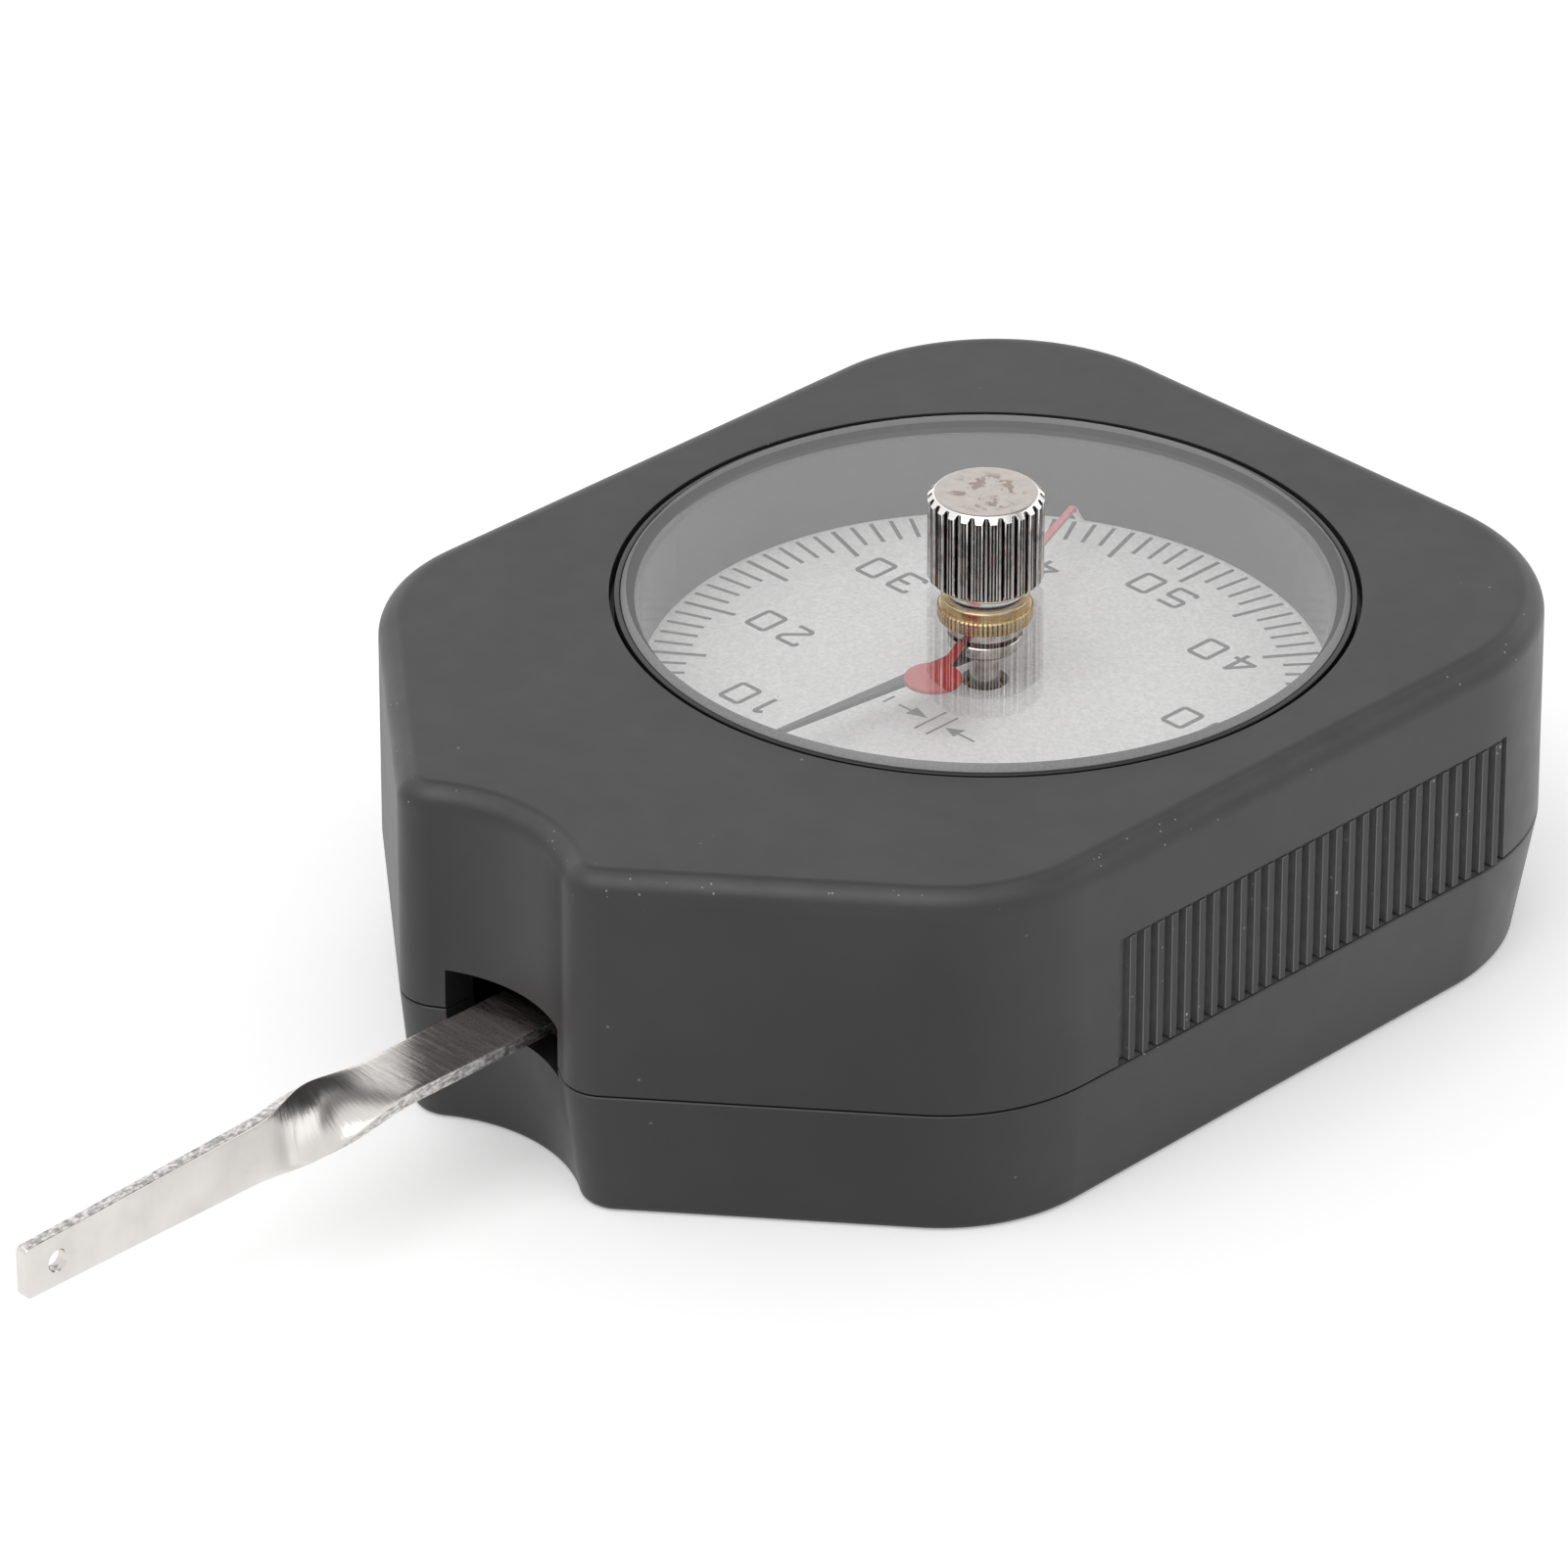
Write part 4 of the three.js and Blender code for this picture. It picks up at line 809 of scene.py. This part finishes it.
def lower_case():
    top = SEAM_Z - SEAM_GAP / 2
    edge = [(i, BOTTOM_EDGE_R - u) for i, u in fillet(BOTTOM_EDGE_R, 6)][::-1]
    rings = [bottom_ring(BOTTOM_EDGE_R + 0.15, 0)] + [bottom_ring(i, z) for i, z in edge]
    rings += [case_ring(0.012, top - 0.3), case_ring(0, top - LIP), case_ring(LIP, top)]
    shell = loft("lower_case_shell", rings)
    inside = loft("inside", [case_ring(WALL + INNER_DRAFT, FLOOR), case_ring(WALL, top + 1)])
    keep = [cylinder("boss", BOSS_R, FLOOR - 0.5, top, 32, x, y) for x, y in SCREW_SPOTS]
    keep += [cylinder("post", POST_R, FLOOR - 0.5, 2.55, 24, x, y) for x, y in BASE_SCREW_SPOTS]
    carve(inside, keep)
    tools = [inside, slot_tool()]
    for x, y in SCREW_SPOTS:
        tools.append(lathe("recess", [(0, -1), (2.3, -1), (2.25, 0), (2.1, 0.15), (2.1, 1.5)], 48, x, y))
        tools.append(cylinder("through", SCREW_HOLE_R, 0.5, top + 1, 24, x, y))
    tools += [cylinder("thread", THREAD_HOLE_R, 0.9, 2.7, 24, x, y) for x, y in BASE_SCREW_SPOTS]
    return carve(shell, tools)


dress(lower_case(), "case", CASE, replaces=["lower_case"])


# Glass, ring and dial

glass_profile = rounded([(GLASS_HOLE_R, GLASS_BOTTOM, 0.03), (GLASS_R, GLASS_BOTTOM, 0.06),
                         (GLASS_R, GLASS_TOP - GLASS_BEVEL_HEIGHT, 0.03),
                         (GLASS_R - GLASS_BEVEL_WIDTH, GLASS_TOP, 0.03),
                         (GLASS_HOLE_R, GLASS_TOP, 0.05)], steps=3)
glass = dress(lathe("dial_glass_clear", glass_profile, 256), "case", GLASS, ["dial_glass"],
              degrees=25)
glass.data.materials.append(GROUND)
for face in glass.data.polygons:
    c = face.center / MM
    if math.hypot(c.x, c.y) > GLASS_R - GLASS_BEVEL_WIDTH - 0.01 and c.z > GLASS_BOTTOM + 0.05:
        face.material_index = 1

ring_profile = rounded([(GLASS_R + 0.04, GLASS_BOTTOM + 0.05), (GLASS_RING_R, GLASS_BOTTOM + 0.05),
                        (GLASS_RING_R, CASE_TOP - 0.05), (GLASS_R + 0.04, CASE_TOP - 0.05)], radius=0.08)
dress(lathe("glass_ring_fine", ring_profile, 256), "case", RING, ["glass_ring"])

dial_profile = rounded([(DIAL_HOLE_R, DIAL_TOP - 0.8), (DIAL_R, DIAL_TOP - 0.8), (DIAL_R, DIAL_TOP),
                        (DIAL_HOLE_R, DIAL_TOP)], radius=0.05, steps=2)
dress(lathe("dial_plate_fine", dial_profile, 192), "case", DIAL, ["dial_plate"], degrees=25)

INK_Z = (DIAL_TOP - 0.004, DIAL_TOP + 0.012)
DIVISIONS = 100
TICK_OUTER_R = 20.9
LONG_TICK_R, LONG_TICK_HALF = 17.35, 0.155
SHORT_TICK_R, SHORT_TICK_HALF = 18.45, 0.135


def tick_marks():
    parts = []
    for i in range(DIVISIONS):
        inner, half = (LONG_TICK_R, LONG_TICK_HALF) if i % 5 == 0 else (SHORT_TICK_R, SHORT_TICK_HALF)
        angle = -math.pi / 2 + 2 * math.pi * i / DIVISIONS
        along = Vector((math.cos(angle), math.sin(angle)))
        across = Vector((-along.y, along.x))
        corners = [along * inner - across * half, along * TICK_OUTER_R - across * half,
                   along * TICK_OUTER_R + across * half, along * inner + across * half]
        parts.append(prism_data([(c.x, c.y) for c in corners], *INK_Z))
    return link("dial_ticks", *merged(parts))


def stroke(points, width, closed=False, corner=0.22):
    """The left and right edges of a line of even width, along a path with rounded corners."""
    path = [Vector(p) for p in rounded(points, radius=corner, closed=closed)]
    left, right = [], []
    count = len(path)
    for i, point in enumerate(path):
        if closed:
            before, after = path[i - 1], path[(i + 1) % count]
        else:
            before, after = path[max(i - 1, 0)], path[min(i + 1, count - 1)]
        a = (point - before).normalized() if (point - before).length > 1e-6 else (after - point).normalized()
        b = (after - point).normalized() if (after - point).length > 1e-6 else a
        mean = (a + b).normalized()
        normal = Vector((-mean.y, mean.x))
        reach = width / 2 / max(0.5, normal.dot(Vector((-a.y, a.x))))
        left.append(point + normal * reach)
        right.append(point - normal * reach)
    return left, right


def upright(point, centre=(0, 0)):
    """Puts a point of a sign about its centre, turned so that the sign reads with the lever up."""
    return centre[0] - point.x, centre[1] - point.y


def stroke_data(points, width, centre=(0, 0), closed=False, corner=0.22, lift=0.0):
    rings = []
    for a, b in zip(*stroke(points, width, closed, corner)):
        left, right = upright(a, centre), upright(b, centre)
        rings.append([(*left, INK_Z[0]), (*right, INK_Z[0]), (*right, INK_Z[1] + lift),
                      (*left, INK_Z[1] + lift)])
    return loft_data(rings, loop=closed)


# Digits are strokes about their centre, whose middle lines reach HW to each side and HH up and down
HW, HH = 0.76, 1.02
DIGITS = {
    "0": [([(-HW, -HH), (HW, -HH), (HW, HH), (-HW, HH)], True)],
    "1": [([(-0.42, 0.62), (0.08, HH), (0.08, -HH)], False)],
    "2": [([(-HW, 0.62), (-HW, HH), (HW, HH), (HW, 0.5), (-HW, -HH), (HW, -HH)], False)],
    "3": [([(-HW, 0.7), (-HW, HH), (HW, HH), (HW, -HH), (-HW, -HH), (-HW, -0.7)], False),
          ([(-0.25, 0.04), (HW, 0.04)], False)],
    "4": [([(0.34, HH + 0.1), (0.34, -HH - 0.12)], False), ([(0.34, HH), (-0.78, -0.45)], False),
          ([(-0.9, -0.45), (0.85, -0.45)], False)],
    "5": [([(HW, HH), (-HW + 0.08, HH), (-HW, 0.14), (HW, 0.14), (HW, -HH), (-HW, -HH), (-HW, -0.72)],
           False)],
}
# Text, place of its centre on one side of the dial, and distance between its digits
NUMBERS = [("10", 8.13, -11.96, 2.2), ("20", 13.25, -4.5, 2.7), ("30", 13.25, 5.12, 2.7),
           ("40", 8.5, 12.41, 2.7)]
DIGIT_STROKE, MARK_STROKE = 0.31, 0.16
# A 1 and two arrows that point at a pair of bars. Two points are a line, three an arrow's head
DIVISION_MARK = [[(1.38, 6.05), (0.1, 6.0)], [(-0.99, 5.96), (0.35, 5.5), (0.35, 6.5)],
                 [(-1.31, 4.65), (-1.31, 7.4)], [(-2.31, 4.65), (-2.31, 7.4)],
                 [(-2.61, 6.05), (-3.7, 5.4), (-3.7, 6.45)], [(-3.5, 6.0), (-5.05, 6.0)],
                 [(2.3, 5.5), (2.3, 6.5)]]


def dial_numbers():
    """Plain numbers on both sides of zero, upright when the lever points up."""
    parts = []
    spots = [(text, side * x, y, gap) for text, x, y, gap in NUMBERS for side in (1, -1)]
    spots += [("50", 0, 15.74, 2.7), ("0", 0, -14.5, 0)]
    for text, x, y, gap in spots:
        for i, digit in enumerate(text):
            along = (i - (len(text) - 1) / 2) * gap
            for k, (points, closed) in enumerate(DIGITS[digit]):
                parts.append(stroke_data(points, DIGIT_STROKE, (x - along, y), closed, lift=0.001 * k))
    return link("dial_numbers", *merged(parts))


def division_mark():
    """The sign for one division."""
    parts = []
    for points in DIVISION_MARK:
        if len(points) == 2:
            parts.append(stroke_data(points, MARK_STROKE, corner=0))
        else:
            parts.append(prism_data([upright(Vector(p)) for p in points], INK_Z[0], INK_Z[1] + 0.001))
    return link("dial_division_mark", *merged(parts))


for piece in (tick_marks(), dial_numbers(), division_mark()):
    dress(piece, "case", INK, degrees=20)


# Turned pieces round the dial axis

arbor_profile = [(0, 2.7), (0.5, 2.7), (0.5, 4.2), (0.92, 4.2), (0.92, POINTER_BOTTOM - 0.1),
                 (0.87, POINTER_BOTTOM - 0.05), (0.5, POINTER_BOTTOM - 0.05), (0.5, ARBOR_END - 0.05),
                 (0.45, ARBOR_END)]
dress(lathe("arbor_fine", arbor_profile, 48), "arbor", HUB, ["arbor"])
bush_profile = rounded([(1.02, 12.25), (1.38, 12.25), (1.38, 15.3), (1.02, 15.3)], 0.06)
dress(lathe("arbor_upper_bush_fine", bush_profile, 64), "case", BUSH, ["arbor_upper_bush"])
hub_profile = [(0, 18.75), (1.45, 18.75), (1.45, 18.3), (1.49, 18.26), (1.98, 18.26), (2.03, 18.27),
               (2.28, 18.52), (HUB_R, 18.57), (HUB_R, 19.14), (2.24, 19.2)]
dress(lathe("drag_hub_fine", hub_profile, 96), "knob", HUB, ["drag_hub"])
cap_profile = rounded([(STEM_HOLE_R, 19.55), (HUB_R, 19.55), (HUB_R, FLANGE_BOTTOM - 0.1),
                       (STEM_HOLE_R, FLANGE_BOTTOM - 0.1)], radius=0.06)
dress(lathe("drag_cap_fine", cap_profile, 96), "knob", HUB, ["drag_cap"])


def knob_bush():
    """The bush: a finely knurled flange with a step under the glass, and a collar up through it."""
    step_top = GLASS_BOTTOM - 0.05
    bevel, groove_depth, per_tooth = 0.1, 0.08, 4
    count = BUSH_TEETH * per_tooth

    def ring(radius, z, depth=0.0):
        out = []
        for i in range(count):
            r = radius if i % per_tooth else radius - depth
            a = 2 * math.pi * i / count
            out.append((r * math.cos(a), r * math.sin(a), z))
        return out

    rings = [ring(STEM_HOLE_R, FLANGE_BOTTOM), ring(FLANGE_R - bevel, FLANGE_BOTTOM),
             ring(FLANGE_R, FLANGE_BOTTOM + bevel, groove_depth),
             ring(FLANGE_R, FLANGE_TOP - bevel, groove_depth),
             ring(FLANGE_R - bevel, FLANGE_TOP), ring(FLANGE_STEP_R, FLANGE_TOP),
             ring(FLANGE_STEP_R, step_top - 0.05), ring(FLANGE_STEP_R - 0.05, step_top),
             ring(COLLAR_R + 0.04, step_top), ring(COLLAR_R, step_top + 0.02),
             ring(COLLAR_R, COLLAR_TOP - 0.05), ring(COLLAR_R - 0.05, COLLAR_TOP),
             ring(STEM_HOLE_R, COLLAR_TOP)]
    return loft("knob_bush_fine", rings, loop=True)


dress(knob_bush(), "case", BUSH, ["knob_bush"], degrees=30)
washer_profile = rounded([(1.15, 23.39), (2, 23.39), (2, 23.52), (1.15, 23.52)], 0.04)
dress(lathe("friction_washer_fine", washer_profile, 64), "case", FIBRE, ["friction_washer"])


def knob():
    """Knurled grip whose bevels cut the teeth into scallops, on a short neck and a stem."""
    per_tooth = 16
    count = KNOB_TEETH * per_tooth

    def crest(i):
        phase = (i % per_tooth) / per_tooth
        height = min(clamp((phase - 0.1) / 0.2), clamp((0.9 - phase) / 0.2))
        return height * height * (3 - 2 * height)

    def ring(z, limit):
        out = []
        for i in range(count):
            r = min(KNOB_R - KNURL_DEPTH * (1 - crest(i)), limit)
            a = 2 * math.pi * i / count
            out.append((r * math.cos(a), r * math.sin(a), z))
        return out

    low, high = GRIP_BOTTOM, KNOB_TOP
    valley = KNOB_R - KNURL_DEPTH
    low_steps, high_steps = 6, 10
    rings = [ring(low, valley - 0.05), ring(low + 0.03, valley)]
    rings += [ring(low + 0.03 + 0.27 * k / low_steps, valley + KNURL_DEPTH * k / low_steps)
              for k in range(1, low_steps + 1)]
    rings.append(ring(low + 0.5, KNOB_R))
    rings += [ring(high - 0.4 + 0.37 * k / high_steps, KNOB_R - 0.36 * k / high_steps)
              for k in range(high_steps + 1)]
    rings += [ring(high, KNOB_R - 0.42), ring(high, KNOB_R - 0.55)]
    grip = loft_data(rings)
    neck = lathe_data([(0, DRAG_BOTTOM), (STEM_R - 0.05, DRAG_BOTTOM), (STEM_R, DRAG_BOTTOM + 0.05),
                       (STEM_R, GLASS_TOP + 0.03), (2.73, GLASS_TOP + 0.03), (2.78, GLASS_TOP + 0.05),
                       (2.93, GLASS_TOP + 0.2), (2.95, GLASS_TOP + 0.25), (2.95, low + 0.001)], 96)
    return link("knob_knurled", *merged([grip, neck]))


dress(knob(), "knob", KNOB, ["knob"], degrees=28)


# Lever

def lever_section(y):
    """The strip's half widths above and below its middle line, and its twist."""
    twisted = clamp((TWIST_START - y) / (TWIST_START - TWIST_END))
    along = clamp((TWIST_END - y) / (TWIST_END - LEVER_TIP_Y))
    upper = LEVER_HALF_WIDTH + (BLADE_UPPER - LEVER_HALF_WIDTH) * twisted + (TIP_UPPER - BLADE_UPPER) * along
    lower = LEVER_HALF_WIDTH + (BLADE_LOWER - LEVER_HALF_WIDTH) * twisted
    share = twisted * twisted * (3 - 2 * twisted)
    return upper, lower, math.pi / 2 * share ** TWIST_EASE


def across_faces(section, corner_points, pieces):
    """Splits a rounded section's two broad sides, so that a twisted face keeps its true curve."""
    out = []
    for i, (x, y) in enumerate(section):
        out.append((x, y))
        if i in (corner_points - 1, 3 * corner_points - 1):
            to_x, to_y = section[i + 1]
            out += [(x + (to_x - x) * k / pieces, y + (to_y - y) * k / pieces) for k in range(1, pieces)]
    return out


def lever_blank():
    corner, edge, end_trim = 0.35, 0.1, 0.06
    edge_steps, face_pieces, twist_steps = 3, 14, 96
    half = LEVER_THICKNESS / 2
    stations = [LEVER_HEEL_Y, LEVER_HEEL_Y - 0.1, -34, -40, -44]
    stations += [TWIST_START + (TWIST_END - TWIST_START) * i / twist_steps for i in range(twist_steps + 1)]
    stations += [-63, -66, -69, -72, -75, LEVER_TIP_Y + 1]
    stations += [LEVER_TIP_Y + corner * (1 - math.sin(math.pi / 2 * i / 6)) for i in range(7)]
    rings = []
    for y in stations:
        upper, lower, twist = lever_section(y)
        to_tip = y - LEVER_TIP_Y
        cut = 0.0
        if to_tip < corner:
            cut = corner - math.sqrt(max(corner ** 2 - (corner - to_tip) ** 2, 0))
        trim = end_trim if y in (stations[0], stations[-1]) else 0.0
        u0, u1, v = -upper + cut + trim, lower - cut - trim, half - trim
        section = rounded([(u0, -v), (u1, -v), (u1, v), (u0, v)], radius=edge, steps=edge_steps)
        section = across_faces(section, edge_steps + 1, face_pieces)
        rings.append([(u * math.cos(twist) + w * math.sin(twist), y,
                       LEVER_Z - u * math.sin(twist) + w * math.cos(twist)) for u, w in section])
    blank = loft("lever_strip", rings)
    flared = LEVER_HOLE_R + 0.1
    hole = lathe("hole", [(0, -4), (flared, -4), (flared, -0.44), (LEVER_HOLE_R, -0.34), (LEVER_HOLE_R, 0.34),
                          (flared, 0.44), (flared, 4)], 48)
    hole.data.transform(Matrix.Translation((0, LEVER_HOLE_Y * MM, LEVER_HOLE_Z * MM))
                        @ Matrix.Rotation(math.pi / 2, 4, "Y"))
    pivots = [cylinder("pivot", r, 5, 12, 32, 0, y)
              for r, y in ((PIVOT_R, PIVOT_Y), (RIVET_R, PIVOT_Y + RIVET_OFFSET),
                           (RIVET_R, PIVOT_Y - RIVET_OFFSET))]
    return carve(blank, [hole, *pivots])


lever = dress(lever_blank(), "lever", LEVER, ["lever"], degrees=40)
lever.data.materials.append(SHEARED)
for face in lever.data.polygons:
    y = face.center.y / MM
    twist = lever_section(y)[2]
    across = Vector((math.cos(twist), 0, -math.sin(twist)))
    if abs(face.normal.dot(across)) > 0.8 and abs(face.normal.y) < 0.5:
        offset = (face.center / MM - Vector((0, y, LEVER_Z))).dot(across)
        if abs(offset) > 0.9:
            face.material_index = 1


# CAD pieces that stay

SLOT_LOOK = {"brass": BRASS, "screw_steel": STEEL, "spring_steel": SPRING, "dark_paint": DARK,
             "red_paint": RED}
POINTER_BEVEL, PIECE_BEVEL = 0.03, 0.05
slots = {row["node"]: row["material_slot"] for row in frame["record"]["subparts"]}
for node, obj in NODES.items():
    if obj.hide_render:
        continue
    obj.data.materials.clear()
    obj.data.materials.append(SLOT_LOOK[slots[node]])
    bevel = obj.modifiers.new("edges", "BEVEL")
    bevel.width = (POINTER_BEVEL if node.endswith("pointer") else PIECE_BEVEL) * MM
    bevel.segments = 2
    bevel.limit_method = "ANGLE"
    bevel.angle_limit = math.radians(50)
    bevel.use_clamp_overlap = True


# Camera, light, floor

PHOTO_WIDTH, FOCAL_PIXELS, SENSOR_WIDTH = 1601, 9735.125, 36
AZIMUTH, ELEVATION, ROLL = math.radians(45.82477), math.radians(30.17416), math.radians(-0.24294)
EYE_RIGHT, EYE_UP, EYE_BACK = -12.3841, 8.0982, 594.0576

back = Vector((math.sin(AZIMUTH) * math.cos(ELEVATION), -math.cos(AZIMUTH) * math.cos(ELEVATION),
               math.sin(ELEVATION)))
right = Vector((math.cos(AZIMUTH), math.sin(AZIMUTH), 0))
up = back.cross(right)
right, up = (right * math.cos(ROLL) + up * math.sin(ROLL), up * math.cos(ROLL) - right * math.sin(ROLL))
camera_data = bpy.data.cameras.new("camera")
camera_data.sensor_fit = "HORIZONTAL"
camera_data.sensor_width = SENSOR_WIDTH
camera_data.lens = SENSOR_WIDTH * FOCAL_PIXELS / PHOTO_WIDTH
camera_data.clip_start = 0.01
camera = into_scene("camera", camera_data)
eye = (right * EYE_RIGHT + up * EYE_UP + back * EYE_BACK) * MM
camera.matrix_world = Matrix((
    (right.x, up.x, back.x, eye.x),
    (right.y, up.y, back.y, eye.y),
    (right.z, up.z, back.z, eye.z),
    (0, 0, 0, 1),
))
bpy.context.scene.camera = camera

SOFTBOX_TOWARD = Vector((0.1, -0.45, 1.0)).normalized()
SOFTBOX_DISTANCE, SOFTBOX_SIZE, SOFTBOX_WATTS = 1.2, 0.9, 4.2

light = bpy.data.lights.new("overhead softbox", "AREA")
light.shape = "SQUARE"
light.size = SOFTBOX_SIZE
light.energy = SOFTBOX_WATTS
softbox = into_scene("overhead softbox", light)
softbox.location = SOFTBOX_TOWARD * SOFTBOX_DISTANCE
softbox.rotation_euler = SOFTBOX_TOWARD.to_track_quat("Z", "Y").to_euler()

world = bpy.data.worlds.new("studio")
bpy.context.scene.world = world
world.use_nodes = True
tree = world.node_tree
background = tree.nodes["Background"]
background.inputs["Color"].default_value = (1, 1, 1, 1)

# The world's strength as a light, and the shares of full white that polished parts see in places
ROOM_LIGHT = 0.72
CEILING_SHARE, SKIRTING_SHARE, WALL_SHARE = 0.25, 0.3, 1.35


def studio_strength():
    """Plain white for the eye. Polished parts also see the studio's dark ceiling edge and bright far wall."""
    w = Nodes(tree)
    seen, glossy = w.background_rays()
    x, y, z = w.separate(w.add("ShaderNodeTexCoord").outputs["Generated"])
    far = w.remap(y, 0.1, 0.4, 0, 1)
    ceiling = w.math("MINIMUM", w.remap(z, 0.62, 0.7, 0, 1), w.remap(z, 0.84, 0.92, 1, 0))
    skirting = w.remap(z, 0.03, 0.05, 1, 0)
    side_wall = w.math("MINIMUM", w.remap(x, 0.1, 0.4, 0, 1), w.remap(z, 0.58, 0.66, 1, 0))
    far_wall = w.math("MINIMUM", w.remap(z, 0.1, 0.25, 0, 1), w.remap(z, 0.5, 0.6, 1, 0))
    pattern = w.product(w.remap(w.product(ceiling, far), 0, 1, 1, CEILING_SHARE),
                        w.remap(w.product(skirting, far), 0, 1, 1, SKIRTING_SHARE),
                        w.remap(w.product(w.math("MAXIMUM", side_wall, far_wall), far), 0, 1, 1, WALL_SHARE))
    change = w.product(w.math("SUBTRACT", pattern, 1.0), glossy)
    return w.product(w.remap(seen, 0, 1, ROOM_LIGHT, 1), w.math("ADD", change, 1.0))


tree.links.new(studio_strength(), background.inputs["Strength"])

FLOOR_LEVEL, FLOOR_REACH, FLOOR_GLOW = -0.02, 4000, 0.3
DARK_SPOT_X, DARK_SPOT_Y = 33, -45


def floor_material():
    """Pale floor, shown as white where no shadow falls, and mirrored darker in front and brighter behind."""
    s = Shader("pale floor", (0.86, 0.86, 0.86), 0.8)
    s.color(s.mix(s.remap(s.noise(0.02, 2), 0.3, 0.7, 0, 1), (0.85, 0.85, 0.85), (0.87, 0.87, 0.87)))
    seen, glossy = s.background_rays()
    x, y, _ = s.xyz()
    off = s.distance(s.math("SUBTRACT", x, DARK_SPOT_X), s.math("SUBTRACT", y, DARK_SPOT_Y))
    uneven = s.math("ADD", s.remap(off, 8, 24, -0.34, 0), s.remap(y, -15, 25, 0, 0.22))
    glow = s.add("ShaderNodeEmission")
    glow.inputs["Color"].default_value = (1, 1, 1, 1)
    s.wire(s.math("ADD", s.product(seen, FLOOR_GLOW), s.product(glossy, uneven)), glow.inputs["Strength"])
    total = s.add("ShaderNodeAddShader")
    s.wire(s.bsdf.outputs["BSDF"], total.inputs[0])
    s.wire(glow.outputs["Emission"], total.inputs[1])
    s.wire(total.outputs["Shader"], s.tree.nodes["Material Output"].inputs["Surface"])
    s.bump(s.noise(0.4, 2), 0.01)
    return s.material


floor = link("floor", [(x * FLOOR_REACH, y * FLOOR_REACH, FLOOR_LEVEL)
                       for x, y in ((-1, -1), (1, -1), (1, 1), (-1, 1))], [(0, 1, 2, 3)])
floor.data.materials.append(floor_material())

bpy.context.scene.view_settings.view_transform = "Standard"
